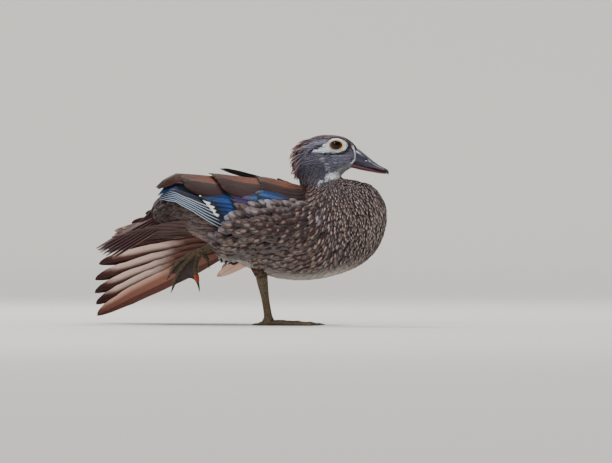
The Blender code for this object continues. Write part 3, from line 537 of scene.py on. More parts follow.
def torso_at(x):
    """Centre height, half height and half width of the torso at x."""
    return [np.interp(x, TORSO[:, 0], TORSO[:, k]) for k in (1, 2, 3)]


# Markings of the skin and the coat

def near_line(x, z, path, width):
    """1 on the broken line through the path's points of x and z, fading out at the width."""
    path = np.asarray(path, float)
    best = np.full(len(x), 1e9)
    for (ax, az), (bx, bz) in zip(path[:-1], path[1:]):
        length = (bx - ax) ** 2 + (bz - az) ** 2
        t = np.clip(((x - ax) * (bx - ax) + (z - az) * (bz - az)) / length, 0, 1)
        best = np.minimum(best, np.hypot(x - ax - t * (bx - ax), z - az - t * (bz - az)))
    return 1 - ease(width * 0.6, width * 1.4, best)


# The crown's border, as the turn round the back of the head and the reach there
CROWN_EDGE = np.array([
    (-180, 27), (-60, 26), (-24, 24.8), (-10, 23.4), (15.6, 20.4), (40, 18.6), (69, 17.2), (100, 17.8),
    (118, 18.6), (138, 21.5), (155, 25.5), (180, 31),
])
# The lower border of the head's coat, as x and z
HEAD_LINE = np.array([(20, 146), (40, 139), (55, 135.5), (66, 137.5), (72, 141.5), (80, 145)])
FACE_WHITE = (222, 232, 244)
# Lines on the head under its crown: path as x and z, width, strength and colour. They are the
# dark hind neck, the light and the dark stripe over the white patch, and the cheek's streaks.
UNDER_CROWN = (
    ([(38, 143), (50, 146)], 7.0, 0.6, (60, 56, 70)),
    ([(53, 170.6), (44, 170), (37, 166.5), (33.5, 161)], 2.5, 1, (122, 118, 140)),
    ([(57, 170.2), (48, 166.6), (38.5, 160.5)], 1.2, 1, (38, 34, 46)),
    ([(60, 151.5), (77, 152.5)], 0.7, 0.45, (136, 138, 160)),
    ([(60, 154.5), (77, 155.5)], 0.7, 0.45, (136, 138, 160)),
    ([(60, 157.2), (77, 158.2)], 0.7, 0.45, (136, 138, 160)),
)
# Lines over them: the white border of the bill, the cheek's streak, the pale chin and the throat
OVER_CROWN = (
    ([(78.6, 167), (80.6, 160), (80.6, 154.5), (76.6, 150.4)], 0.6, 1, (214, 222, 240)),
    ([(49.5, 156.5), (54.8, 148), (57.5, 143)], 1.5, 0.45, (160, 166, 184)),
    ([(76, 147.5), (67, 143.5)], 3.2, 0.8, (150, 154, 152)),
    ([(63, 139.5), (57, 138)], 3.6, 1, (232, 240, 246)),
)


def blended(colour, mask, other):
    """The colours, moved by the mask to the other ones or to one 8-bit colour."""
    other = rgb(other) if isinstance(other, tuple) else other
    return colour + (other - colour) * mask[:, None]


def drawn(face, x, z, lines):
    """The colours with each of the lines drawn over them."""
    for path, width, strength, colour in lines:
        face = blended(face, near_line(x, z, path, width) * strength, colour)
    return face


def over_head_line(p):
    """How far points lie over the lower border of the head's coat."""
    return p[:, 2] - np.interp(p[:, 0], HEAD_LINE[:, 0], HEAD_LINE[:, 1])


def breast_share(x, z):
    """How far forward a place is on the breast, more so the higher it lies."""
    return x + 0.25 * (z - 90)


def body_marks(x, z):
    """Colour and mark of the body: each area is a product of smooth steps of x, z and the level,
    which is -1 at the torso's underside and 1 at its top, and is laid over the ones before it."""
    centre, high, _ = torso_at(x)
    level = (z - centre) / high
    back = ease(0.45, 0.8, level)
    breast = ease(38, 70, breast_share(x, z))
    belly = ease(-0.74, -0.95, level) * ease(-55, -25, x) * ease(95, 60, x)
    rear = ease(-30, -52, x)
    neck = ease(124, 134, z + 0.1 * (x - 50)) * ease(68, 56, x)
    colour = np.tile(rgb((62, 45, 45)), (len(x), 1))
    for area, tone in (
        (back, (84, 62, 58)),
        (ease(112, 124, z) * ease(44, 24, x) * ease(-40, 0, x), (118, 78, 64)),
        (breast, (50, 37, 46)),
        (belly, (190, 182, 174)),
        (rear * ease(0.6, 0.2, level), (82, 64, 62)),
        (ease(-0.62, -0.86, level) * ease(-50, -64, x), (138, 116, 108)),
        (ease(-70, -88, x) * ease(0.1, 0.5, level), (74, 48, 42)),
        (neck, (72, 66, 80)),
    ):
        colour = blended(colour, area, tone)
    mark = 0.75 * (1 - belly) * (1 - 0.8 * back * (1 - breast)) * (1 - 0.85 * rear)
    mark = mark + (0.85 - mark) * breast
    return colour, mark * (1 - 0.7 * neck), level


def face_marks(x, y, z):
    """Colour of the head: grey, the crown round a centre in the head, with a painted highlight that makes its top
    lighter and pinkish, the white patch as an oval with a pointed end behind the eye, its black border, and the lines
    of the two tables."""
    face = drawn(np.tile(rgb((90, 87, 105)), (len(x), 1)), x, z, UNDER_CROWN)
    turn = np.degrees(np.arctan2(z - 156, 50 - x))
    reach = np.hypot(z - 156, x - 50)
    crown = ease(-1.0, 1.0, reach - np.interp(turn, CROWN_EDGE[:, 0], CROWN_EDGE[:, 1]))
    crown = np.maximum(crown, ease(11.5, 8.5, abs(y)) * ease(166, 171, z)) * ease(139, 147, z + 0.25 * (50 - x))
    face = blended(face, crown, (66, 48, 58))
    # Painted highlight: the crown's top, above z = 174, is lighter and pinkish where light falls on it from above.
    face = blended(face, crown * ease(174, 177.5, z), (122, 92, 104))
    oval = np.hypot((x - 62.8) / 10.8, (z - 167.2) / 6.5)
    patch = np.maximum(1 - ease(0.94, 1.06, oval), near_line(x, z, [(60, 165), (52, 163.4)], 3.0))
    patch = np.maximum(patch, near_line(x, z, [(52, 163.2), (44.4, 162.2)], 1.4))
    face = blended(face, patch * (abs(y) > 6), FACE_WHITE)
    border = near_line(x, z, [(51, 159.5), (60, 159.4), (69, 159.9)], 0.95)
    border = np.maximum(border, near_line(x, z, [(70, 160.4), (74.2, 163), (75.2, 168), (74.5, 171)], 1.6))
    face = blended(face, border * (abs(y) > 5), (12, 12, 18))
    return drawn(face, x, z, OVER_CROWN)


def markings(p):
    """Colour of the coat at points of the body, and how strong the pale spots are there."""
    x, y, z = p.T
    colour, mark, level = body_marks(x, z)
    head = ease(-1.2, 1.2, over_head_line(p)) * ease(12, 20, x)
    # Painted shade over the coat's own dark brown: past x = -70, and above the underside, the rear end is darkened to
    # a deep brown where it lies in shadow.
    rear_end_shade = ease(-70, -90, x) * (1 - head)
    colour = blended(colour, rear_end_shade * ease(-0.7, -0.3, level), (46, 31, 30))
    colour = blended(colour, head, face_marks(x, y, z))
    line = near_line(x, z, [(57, 137), (51, 133.8), (45, 131.6)], 0.9) * (x < 60)
    colour = blended(colour, line * 0.9, (196, 208, 224))
    return colour, mark * (1 - head) * (1 - line)


def unwrap(p):
    """Place on the skin's unwrap: the torso's length against the turn round it in one band of
    the square, and the head and neck the same way in another."""
    x, y, z = p.T
    upper = z + 0.30 * (x - 50) > 137
    centre = torso_at(x)[0]
    turn = np.arctan2(y, z - centre) / (2 * math.pi) + 0.5
    body = np.stack([0.02 + 0.60 * (x + 112) / 225, 0.02 + 0.96 * turn], axis=1)
    turn = np.arctan2(y, z - 155) / (2 * math.pi) + 0.5
    head = np.stack([0.66 + 0.32 * np.clip((x - 15) / 75, 0, 1), 0.02 + 0.96 * turn], axis=1)
    return np.clip(np.where(upper[:, None], head, body), 0.004, 0.996)


# The coat

# The line along which the flank's feathers lie over the folded wing's lower edge, as x and z,
# and how far they stand out from the body there, by x
COVER_LINE = np.array([
    (-42, 77), (-36, 81), (-30, 87), (-25, 93), (-19, 98), (-12, 100.5), (-5, 101.5), (4, 102.5), (13, 104),
    (22, 106.5), (32, 109), (43, 110), (54, 108), (62, 104),
])
# How much longer the feathers of the nape are
NAPE_LONGER = 6.5
COVER_LIFT = np.array([(-42, 2.0), (-36, 4.5), (-28, 8.4), (-6, 10.4), (12, 10.0), (25, 7.0), (50, 2.0), (60, 0.0)])


def below_wing(p):
    """How far points of the right side lie below the line of the covering flank feathers; a
    large number elsewhere."""
    x, y, z = p.T
    below = np.interp(x, COVER_LINE[:, 0], COVER_LINE[:, 1]) - z
    return np.where((y < 0) & (x > -42) & (x < 62) & (below > -2), np.maximum(below, 0), 999.0)


def led(way, amount, other):
    """Directions, turned by the amount to another direction or other directions."""
    return unit(way * (1 - amount)[:, None] + other * amount[:, None])


def coat_flow(p):
    """Which way the coat lies: back along the body, down and out from the neck over the breast,
    down the neck, and back from the bill over the head."""
    x, _, z = p.T
    way = np.tile(unit([-1.0, 0, -0.14]), (len(p), 1))
    way[:, 2] += 0.55 * ease(18, 4, below_wing(p)) * ease(-42, -28, x)
    from_neck = unit(p - np.array([44.0, 0, 150.0]) + np.array([-14.0, 0, 0]))
    way = led(way, ease(22, 66, x + 0.1 * (z - 90)), from_neck)
    way = led(way, ease(122, 134, z) * ease(10, 22, x) * ease(96, 84, x), unit([-0.35, 0, -0.94]))
    over_head = led(unit(p - np.array([94.0, 0, 158.0])), ease(42, 26, x), np.array([-0.35, 0, -0.9]))
    return led(way, ease(140, 150, z) * ease(12, 20, x), over_head)


def coat_sizes(p):
    """Spacing, length and width of the coat's feathers at points of the body: those of the
    flanks, moved by smooth steps to those of the belly, breast, chest, head and face in turn."""
    x, _, z = p.T
    centre, high, _ = torso_at(x)
    upper = ease(124, 140, z + 0.3 * (x - 50)) * ease(8, 16, x) * ease(66, 56, x)
    sizes = np.tile([3.9, 17.0, 7.6], (len(p), 1))
    for amount, other in (
        (ease(-0.6, -0.85, (z - centre) / high), (3.3, 13, 6.0)),
        (ease(38, 78, breast_share(x, z)), (2.45, 8.5, 3.6)),
        (ease(116, 132, z) * ease(52, 62, x), (1.9, 6.4, 2.6)),
        (np.maximum(upper, ease(-1.5, 1.5, over_head_line(p)) * ease(12, 20, x)), (1.45, 5.2, 2.2)),
        (ease(52, 76, x) * ease(146, 152, z), (1.05, 3.0, 1.5)),
    ):
        sizes = sizes + (np.array(other) - sizes) * amount[:, None]
    spacing, length, width = sizes.T
    return spacing, length + ease(38, 27, x) * ease(141, 146, z) * NAPE_LONGER, width


def candidates(skin, count):
    """Random points on the skin's faces with their normals, and the skin's points and triangles.
    A face is picked by its area over the square of the spacing there, and a point on it is its
    corner plus two random shares of its sides, folded back into the triangle."""
    mesh = skin.data
    mesh.calc_loop_triangles()
    corners = np.zeros(len(mesh.loop_triangles) * 3, np.int32)
    mesh.loop_triangles.foreach_get("vertices", corners)
    corners = corners.reshape(-1, 3)
    co = read_points(mesh)
    a, b, c = (co[corners[:, i]] for i in range(3))
    cross = np.cross(b - a, c - a)
    boost = 1 / coat_sizes((a + b + c) / 3)[0] ** 2
    chance = np.linalg.norm(cross, axis=1) * boost
    pick = RNG.choice(len(a), count, p=chance / chance.sum())
    u, v = RNG.random(count), RNG.random(count)
    flip = u + v > 1
    u[flip], v[flip] = 1 - u[flip], 1 - v[flip]
    points = a[pick] + (b - a)[pick] * u[:, None] + (c - a)[pick] * v[:, None]
    return points, unit(cross[pick]), co, corners


def spread(points, spacing):
    """Keeps points no nearer to each other than the spacing, in the order given."""
    tree = KDTree(len(points))
    for i, p in enumerate(points):
        tree.insert(p, i)
    tree.balance()
    free = np.ones(len(points), bool)
    kept = []
    for i in range(len(points)):
        if free[i]:
            kept.append(i)
            for _, j, _ in tree.find_range(points[i], spacing[i]):
                free[j] = False
    return np.array(kept)


# Stations along a small feather, and its width there
COAT_STATIONS = np.array([0, 0.2, 0.45, 0.7, 0.88, 1.0])
COAT_PROFILE = np.array([0.35, 0.8, 1.0, 0.96, 0.66, 0.14])


def nearest(tree, points):
    """The skin's nearest place to each point, and its normal there."""
    found = [tree.find_nearest(Vector(p)) for p in points]
    return np.array([f[0] for f in found]), np.array([f[1] for f in found])


def coat_piece(name, tree, root, way, length, width, lift, pale, material, slot, rise, thick=0.16,
               tone=(176, 174, 196)):
    """Small feathers laid along the skin: each a crowned lens in cross-section, its root sunk in
    the skin, its end raised by the share rise of its length, and a little tilt and turn at random."""
    count, stations = len(root), COAT_STATIONS
    straight = root[:, None] + way[:, None] * (length[:, None] * stations)[..., None]
    place, normal = (found.reshape(straight.shape) for found in nearest(tree, straight.reshape(-1, 3)))
    ahead = unit(np.gradient(place, axis=1))
    side = unit(np.cross(ahead, normal))
    tilt = RNG.normal(0, 0.10, count)[:, None, None]
    up = normal * np.cos(tilt) + side * np.sin(tilt)
    side = unit(np.cross(ahead, up))
    ends = rise * length * RNG.uniform(0.55, 1.3, count)
    height = lift[:, None] * ease(0, 0.3, stations) - 0.5 + ends[:, None] * stations**1.2
    centre = place + up * height[..., None]
    half = (width[:, None] / 2 * COAT_PROFILE)[..., None]
    edge, crown = side * half, up * (0.10 * half)
    rings = np.stack([centre - edge - crown, centre + crown, centre + edge - crown, centre - up * thick], axis=2)
    uv = np.zeros((len(stations), 4, 2))
    uv[..., 0] = [0, 0.5, 1, 0.5]
    uv[..., 1] = stations[:, None]
    tint, mark = markings(root + way * length[:, None] * 0.55)
    tint = tint * (1 + RNG.normal(0, 0.10, (count, 1)) + RNG.normal(0, 0.025, (count, 3)))
    mark = mark * RNG.uniform(0.35, 1.15, count)
    shade = np.broadcast_to(np.clip(tint, 0.002, 1)[:, None, None], (count, len(stations), 4, 3))
    shade = shade * (0.72 + 0.28 * stations)[None, :, None, None]
    ends = (pale[:, None] * ease(0.5, 0.95, stations))[:, :, None, None]
    shade = shade * (1 - ends) + rgb(tone) * ends
    marks = np.broadcast_to(mark[:, None, None], (count, len(stations), 4))
    return dress(tubes(name, rings, uv, shade, marks, unwrap(root)), material, slot)


# Each piece of the coat: its material's name, the spot's colour and size, barbs, slot and rise
COATS = {
    "coat_face": ("face_coat", (200, 200, 200), (0.3, 0.2), 4.0, "face", 0.05),
    "coat_head": ("head_coat", (190, 170, 170), (0.3, 0.2), 6.0, "face", 0.09),
    "coat_breast": ("breast_coat", (188, 160, 146), (0.17, 0.22), 7.0, "flank", 0.10),
    "coat_flanks": ("flank_coat", (158, 136, 124), (0.24, 0.17), 9.0, "flank", 0.07),
}
COAT_CANDIDATES = 90000


def coat_free(p):
    """True where the skin has a coat: not under the lids, the bill or on the fleshy limbs."""
    x, y, z = p.T
    to_eye = np.min([np.linalg.norm(p - eye_centre(side), axis=1) for side in (-1, 1)], axis=0)
    lid_oval = np.hypot((x - EYE["x"]) / 7.2, (z - EYE["z"]) / 5.9)
    covered = (to_eye < EYE["radius"] + 1.5) & (lid_oval < 1.0)
    bill = (x > 80.5) & (z > 143)
    centre, high, wide = torso_at(x)
    limb_skin = (np.hypot(y / wide, (z - centre) / high) > 1.06) & ((z < 128) | (x < 18))
    return ~(covered | bill | limb_skin)


def under_wing(p):
    """True where the folded wing hides the skin."""
    x, y, z = p.T
    over = z - np.interp(x, COVER_LINE[:, 0], COVER_LINE[:, 1])
    return (y < 0) & (x > -40) & (x < 26) & (over > 2) & (z < 118)


def make_coat(skin):
    """The coat's four pieces: random points on the skin thinned to the spacing, each with a
    feather along the coat's flow. Gives back the skin's search tree."""
    points, normals, co, corners = candidates(skin, COAT_CANDIDATES)
    tree = BVHTree.FromPolygons([Vector(p) for p in co], corners.tolist())
    chosen = coat_free(points)
    points, normals = points[chosen], normals[chosen]
    spacing, length, width = coat_sizes(points)
    kept = spread(points, spacing * 0.86)
    kept = kept[~under_wing(points[kept])]
    points, normals, length, width = points[kept], normals[kept], length[kept], width[kept]
    way = coat_flow(points)
    way = unit(way - normals * (way * normals).sum(axis=1, keepdims=True))
    way = unit(way + np.cross(normals, way) * RNG.normal(0, 0.13, len(points))[:, None])
    length = length * RNG.uniform(0.85, 1.15, len(points))
    width = width * RNG.uniform(0.88, 1.12, len(points))
    x, _, z = points.T
    breast = breast_share(x, z) > 50
    head = (over_head_line(points) > 0) & (x > 18)
    lift = np.where(head, 0.55, np.where(breast, 0.9, 1.3))
    below = below_wing(points)
    lift = lift + np.interp(x, COVER_LIFT[:, 0], COVER_LIFT[:, 1]) * ease(40, 14, below)
    pale = 0.7 * ease(8, 2, below) * RNG.random(len(x)) ** 1.2
    front = head & (x > 58)
    places = (front, head & ~front, breast & ~head, ~breast & ~head)
    for (name, (title, spot, size, barbs, slot, rise)), part in zip(COATS.items(), places):
        coat_piece(name, tree, points[part], way[part], length[part], width[part], lift[part], pale[part],
                   coat_material(title, spot, size, barbs), slot, rise)
    return tree


def paint_skin(skin, points):
    """The same markings on the skin itself, a little darker, and its unwrap."""
    mesh = skin.data
    set_tint(mesh, markings(points)[0] * 0.7)
    loops = np.zeros(len(mesh.loops), np.int32)
    mesh.loops.foreach_get("vertex_index", loops)
    mesh.uv_layers.new(name="OFBake").data.foreach_set("uv", unwrap(points)[loops].astype(np.float32).ravel())
    mesh.polygons.foreach_set("use_smooth", np.ones(len(mesh.polygons), bool))
    hide = Finish("feathered_skin", 0.85, specular=0.2)
    hide.bump(hide.noise(1200.0), 0.5, 0.0005)
    hide.paint(hide.shaded(hide.attribute("tint", "Color"), hide.noise(700.0), 0.6, 0.6))
    dress(skin, hide.made, "flank", "torso", "neck", "head", "wing_right_arm", "wing_left_upper_arm",
          "leg_right_shank", "leg_left_shank")


# Flight feathers

def web_profile(s, tip):
    """Half width along a vane: it swells from the quill as a smooth step, stays even, and closes
    at the tip as 1 less the place to the power of the tip."""
    swell = 0.35 + 0.65 * ease(0, 0.35, s)
    return np.maximum(swell * (1 - s**tip) ** 0.6, 0.015)


def vane_rings(centre, side, face, outer, inner, columns, thick):
    """Closed rings of one vane. Across runs from the outer edge to the inner one, and the vane
    is highest and thickest at its shaft: the arch and the wall fall with a power of the reach."""
    a = np.linspace(-1, 1, columns)[None]
    reach = np.where(a < 0, a * outer[:, None], a * inner[:, None])
    arch = 0.035 * (outer + inner)[:, None] * (1 - abs(a) ** 1.6)
    wall = thick * (0.35 + 0.65 * (1 - abs(a) ** 1.5)) / 2
    top = centre[:, None] + side[:, None] * reach[..., None] + face[:, None] * (arch + wall)[..., None]
    low = centre[:, None] + side[:, None] * reach[..., None] + face[:, None] * (arch - wall)[..., None]
    return np.concatenate([top, low[:, ::-1]], axis=1)


def vane_uv(stations, columns):
    """Across from 0 to 1 and back again round each ring, and the station along."""
    across = np.linspace(0, 1, columns)
    row = np.concatenate([across, across[::-1]])
    return np.stack(np.broadcast_arrays(row[None], stations[:, None]), axis=-1)


# Stations along a large vane and a small one, and their points across
FINE = np.concatenate([np.linspace(0, 0.85, 20), [0.90, 0.94, 0.97, 0.985, 1.0]])
COLUMNS = 9
COARSE = np.array([0, 0.15, 0.32, 0.5, 0.66, 0.8, 0.9, 0.96, 0.99, 1.0])
FEW = 5


def frayed(stations, amount):
    """Small uneven notches in a vane's edge, as where barbs part."""
    wave = RNG.normal(0, 1, len(stations))
    return 1 + amount * wave * ease(0.2, 0.5, stations)


def free_vane(root, along, top, length, width, outer_share=0.5, droop=0.0, roll=0.0, tip=6.0, thick=0.5,
              small=False):
    """A vane in the air: its shaft droops with the square of the way along it, and it is turned
    about itself by roll degrees. A small one has fewer points."""
    stations, columns = (COARSE, FEW) if small else (FINE, COLUMNS)
    along, top = unit(along), np.asarray(top, float)
    top = unit(top - along * np.dot(top, along))
    side = np.cross(along, top)
    s = stations[:, None]
    centre = root + along * length * s - top * droop * s**2
    turn = np.radians(roll)
    lean = np.broadcast_to(np.cos(turn) * side + np.sin(turn) * top, centre.shape)
    face = np.broadcast_to(np.cos(turn) * top - np.sin(turn) * side, centre.shape)
    shape = web_profile(stations, tip)
    outer = width * outer_share * shape * frayed(stations, 0.025)
    inner = width * (1 - outer_share) * shape * frayed(stations, 0.025)
    return vane_rings(centre, lean, face, outer, inner, columns, thick)


def tuft(root, along, top, length, width, **options):
    """A small, thin free vane."""
    return free_vane(root, along, top, length, width, thick=0.3, small=True, **options)


def wing_way(angle):
    """A direction in the stretched wing's plane, turned by the angle from straight back."""
    c, s = heading(angle)
    return c * WING_BACK + s * np.cross(WING_TOP, WING_BACK)


def behind(start, end, shift, lift=0.0):
    """A line of the stretched wing, moved back in the wing's plane and up from it."""
    back = np.cross(unit(end - start), WING_TOP)
    back = back * np.sign(np.dot(back, WING_BACK))
    move = back * shift + WING_TOP * lift
    return start + move, end + move


def wing_row(line, count, first, stack, angles, lengths, width, share, roll=10):
    """Vanes side by side along a line, from the place first of a step, each over the next by the
    stack. Angles and lengths are the first vane's, and what the last one has more."""
    start, end = line
    vanes = []
    for i in range(count):
        f = i / (count - 1)
        root = start + (end - start) * (i + first) / count + WING_TOP * stack * ((count - 1) / 2 - i)
        vanes.append(free_vane(root, wing_way(angles[0] + angles[1] * f), WING_TOP, lengths[0] + lengths[1] * f,
                               width, share, roll=roll))
    return vanes


def fan(name, vanes, material, slot, *nodes, places=None):
    """One piece of many vanes alike, marked on the side that faces up. Small ones, which are a
    coat, have a bake map: each vane is a patch at its root's place."""
    rings = np.stack(vanes)
    stations, columns = (FINE, COLUMNS) if rings.shape[1] == len(FINE) else (COARSE, FEW)
    mark = np.zeros(rings.shape[:3])
    mark[:, :, :columns] = 1
    if columns == FEW:
        places = flat_places(rings[:, 0].mean(axis=1)) if places is None else np.array(places)
    return dress(tubes(name, rings, vane_uv(stations, columns), mark=mark, bake=places), material, slot, *nodes)


# Colours that several feathers share
INK = (17, 18, 27)
SILVER = (176, 196, 222)
BLUE = (9, 56, 112)
DEEP = (10, 34, 68)
WHITE = (236, 242, 246)


def left_primaries():
    """The stretched wing's primaries: from below with dark ends and a pale band, which is painted light shining
    through the thin webs over their own paler tone, the leading one lighter; from above slate, with blue ends."""
    start, end = behind(WRIST, FINGERTIP, 7.6)
    slate = ([(0.0, INK), (0.7, (28, 26, 36)), (0.85, DEEP), (1.0, (14, 40, 84))],
             [(0.0, (44, 42, 52)), (0.3, INK), (1.0, (24, 26, 38))])
    # The pale band is painted light shining through the webs, over their own paler tone.
    under = vane_material(
        "primaries_under",
        [(0.0, (96, 62, 54)), (0.5, (84, 50, 46)), (0.85, (50, 32, 32)), (1.0, (44, 28, 30))],
        [(0.0, (98, 70, 64)), (0.35, (120, 86, 78)), (0.8, (106, 72, 66)), (0.9, (66, 42, 42)),
         (1.0, (54, 34, 36))],
        shaft=(120, 80, 66), roughness=0.5, barbs=90.0, band=((238, 208, 196), 0.36, 0.86, 0.34), top=slate)
    vanes = []
    for i, (angle, length) in enumerate(PRIMARIES):
        root = start + (end - start) * (i + 0.3) / len(PRIMARIES) + WING_TOP * 0.45 * (4.5 - i)
        vanes.append(free_vane(root, wing_way(angle), WING_TOP, length, 27 - 0.3 * i, 0.7, roll=9, tip=5.0,
                               droop=-1.0 + 0.3 * i))
    fan("wing_left_primary_feathers", vanes[:-1], under, "flight", "wing_left_primaries")
    # Its pale band too is painted light shining through the web.
    leading = vane_material(
        "outermost_primary",
        [(0.0, (92, 62, 56)), (0.5, (112, 72, 64)), (0.85, (98, 60, 54)), (1.0, (62, 38, 36))],
        [(0.0, (120, 82, 72)), (0.5, (160, 108, 92)), (0.85, (140, 88, 76)), (1.0, (74, 44, 42))],
        shaft=(76, 44, 38), roughness=0.5, barbs=90.0, band=((222, 178, 160), 0.30, 0.90, 0.26), top=slate)
    fan("wing_left_leading_feather", vanes[-1:], leading, "flight")


def left_secondaries():
    """The stretched wing's secondaries: plain below, and above as on the folded wing."""
    start, end = behind(WRIST, ELBOW, 8.4, 3.6)
    start = start + (end - start) * 0.02
    mirror = [(0.0, DEEP), (0.62, BLUE), (0.84, DEEP), (0.88, INK), (0.93, INK), (0.945, WHITE), (1.0, WHITE)]
    plain = vane_material(
        "secondaries_under",
        [(0.0, (84, 60, 56)), (0.6, (90, 64, 60)), (0.9, (66, 48, 48)), (0.945, (66, 48, 48)),
         (0.96, (214, 206, 204)), (1.0, (220, 214, 212))],
        [(0.0, (116, 82, 74)), (0.6, (128, 92, 82)), (0.9, (92, 66, 62)), (0.945, (92, 66, 62)),
         (0.96, (214, 206, 204)), (1.0, (220, 214, 212))],
        shaft=(104, 74, 66), top=(mirror, mirror))
    vanes = wing_row((start, end), 10, 0.3, -0.2, (18, -14), (90, -12), 21, 0.66)
    fan("wing_left_secondary_feathers", vanes, plain, "flight", "wing_left_secondaries")


def left_coverts():
    """The stretched wing's larger coverts: brown below, purple and blue with dark ends above."""
    cover = ([(0.0, (48, 42, 60)), (0.5, (62, 48, 84)), (0.85, BLUE), (0.9, INK), (1.0, INK)],
             [(0.0, (48, 42, 60)), (0.5, (54, 44, 78)), (0.85, BLUE), (0.9, INK), (1.0, INK)])
    brown = [(0.0, (78, 58, 54)), (1.0, (104, 78, 70))]
    material = vane_material("wing_coverts", brown, brown, shaft=(60, 46, 44), top=cover)
    vanes = wing_row(behind(WRIST, FINGERTIP, 3.5, 7.0), 10, 0.2, 0.3, (16, -44), (40, 6), 14, 0.62, roll=9)
    fan("wing_left_primary_covert_feathers", vanes, material, "flight", "wing_left_primary_coverts")
    vanes = wing_row(behind(WRIST, ELBOW, 3.5, 8.2), 11, 0.5, 0.0, (18, -9), (40, 0), 15, 0.62)
    fan("wing_left_secondary_covert_feathers", vanes, material, "flight", "wing_left_secondary_coverts")


LINING_ROWS = 8
# The two parts that the lining covers: their ends, half width and height, the feathers in a
# row, and the first feather's angle and what the last one's is less
LINED = ((ELBOW, WRIST, 7.5, 6.0, 18, 14, 6), (WRIST, FINGERTIP, 6.0, 4.4, 14, 8, 34))


def lining_tufts(sign):
    """Rows of short feathers from the leading edge back, on the wing's top side for 1 and its
    underside for -1. The rows lie on an arch: its height less the square of the way across."""
    tufts = []
    for a, b, half, high, count, first, less in LINED:
        back = behind(a, b, 1.0)[0] - a
        for row in range(LINING_ROWS):
            f = row / (LINING_ROWS - 1)
            off = 1.9 * f - 0.95
            for i in range(count):
                spot = a + (b - a) * (i + 0.5 + 0.5 * (row % 2)) / (count + 0.5)
                root = spot + back * half * off + WING_TOP * sign * high * (0.95 - 0.6 * off**2)
                way = wing_way(first - less * i / count + RNG.normal(0, 5))
                way = way + WING_TOP * sign * RNG.uniform(0.02, 0.10)
                length = 9 + 7 * f + RNG.normal(0, 0.8)
                tufts.append(tuft(root, way, WING_TOP * sign, length, 5.6, droop=0.9, roll=RNG.normal(0, 6), tip=4.0))
    return tufts


def left_lining():
    """Short mottled feathers that line the wing's underside, and the slate ones over the arm."""
    dark, light = (50, 38, 40), (204, 194, 190)
    lining = vane_material("wing_lining", [(0.0, dark), (0.45, dark), (0.55, light), (0.68, light), (0.76, dark),
                                           (0.86, dark), (0.93, light), (1.0, light)],
                           [(0.0, dark), (0.6, dark), (0.7, light), (0.8, light), (0.86, dark), (1.0, dark)],
                           roughness=0.7, barbs=16.0, cloud=0.9)
    upper = vane_material("wing_arm_top", [(0.0, (56, 50, 58)), (0.8, (66, 58, 66)), (1.0, (92, 78, 80))],
                          roughness=0.6, barbs=16.0, cloud=0.5)
    fan("wing_left_lining", lining_tufts(-1), lining, "flight", "wing_left_forearm")
    fan("wing_left_arm_top", lining_tufts(1), upper, "flight", "wing_left_hand")


def left_alula():
    """The thumb's pale feathers below the leading edge."""
    ahead = unit(FINGERTIP - WRIST)
    root = WRIST + ahead * 13.0 + np.cross(WING_BACK, WING_TOP) * 8.6
    pale = vane_material("thumb_feathers", [(0.0, (150, 96, 84)), (0.5, (226, 176, 158)),
                                            (0.9, (238, 200, 184)), (1.0, (150, 108, 98))],
                         shaft=(150, 92, 78), roughness=0.55)
    vanes = [
        free_vane(root + WING_TOP * 1.1 * (i - 1), wing_way(-37 + 5 * i), WING_TOP, 60 - 9 * i, 17 - i, tip=4.5,
                  roll=12)
        for i in range(3)
    ]
    fan("wing_left_thumb_feathers", vanes, pale, "flight", "wing_left_alula")


# The line of the inner feathers' roots, from the back to the elbow
INNER_START, INNER_END = np.array([27.0, 33.0, 126.5]), np.array([16.0, 62.0, 130.5])
INNER_FEATHERS = 9
# Rows of their coverts from under the front edge to the top, as turns about that line
INNER_ROWS, INNER_ROW_LENGTH = (-75, -45, -15, 15, 45, 65, 80), 13


def left_tertials():
    """Inner feathers of the stretched wing: a dark band that shows above the back from the side, its underside near
    black, which is the feathers' own dark tone deepened by painted shade where the far wing lies in shadow.
    """
    # Painted shade over their own dark tone: the underside that shows from the side is near black, as the far wing
    # lies in shadow.
    black = vane_material("inner_feathers", [(0.0, (22, 18, 26)), (1.0, (20, 16, 22))],
                          rim=(0.03, (60, 44, 46)), shaft=(40, 30, 34), roughness=0.4,
                          top=([(0.0, (58, 46, 48)), (1.0, (84, 62, 58))], [(0.0, (48, 38, 44)), (1.0, INK)]))
    vanes = []
    for i in range(INNER_FEATHERS):
        f = i / (INNER_FEATHERS - 1)
        root, along = INNER_START + (INNER_END - INNER_START) * f, (-1, 0.05, 0.29 - 0.03 * f)
        vanes.append(free_vane(root, along, (0.26, 0.20, 0.94), 72 - 8 * f, 18, roll=-4, tip=4.5))
    fan("wing_left_inner_feathers", vanes, black, "flight", "wing_left_tertials")


def left_inner_coverts():
    """Short feathers over the roots of the inner ones: an oval of rows about their line, by the
    cosine and the sine of each row's turn."""
    cover = vane_material("inner_coverts", [(0.0, (44, 34, 36)), (0.8, (56, 44, 44)), (1.0, (88, 68, 62))],
                          roughness=0.6, barbs=20.0, cloud=0.5)
    vanes = []
    for row, (c, s) in enumerate(map(heading, INNER_ROWS)):
        for i in range(INNER_ROW_LENGTH):
            f = (i + 0.5 * (row % 2) - 0.5) / (INNER_ROW_LENGTH - 1)
            root = INNER_START + (INNER_END - INNER_START) * f + np.array([6.5 * c - 1.0 * row, 0, 4.6 * s - 0.4])
            way = np.array([-1.0, 0.05 + RNG.normal(0, 0.06), 0.15 + 1.1 * max(0.0, -s)])
            length = 14 + RNG.normal(0, 1)
            vanes.append(tuft(root, way, np.array([0.8 * c, 0.1, s + 0.25]), length, 6.5, droop=0.6,
                              roll=RNG.normal(0, 5), tip=3.6))
    fan("wing_left_inner_coverts", vanes, cover, "flank")


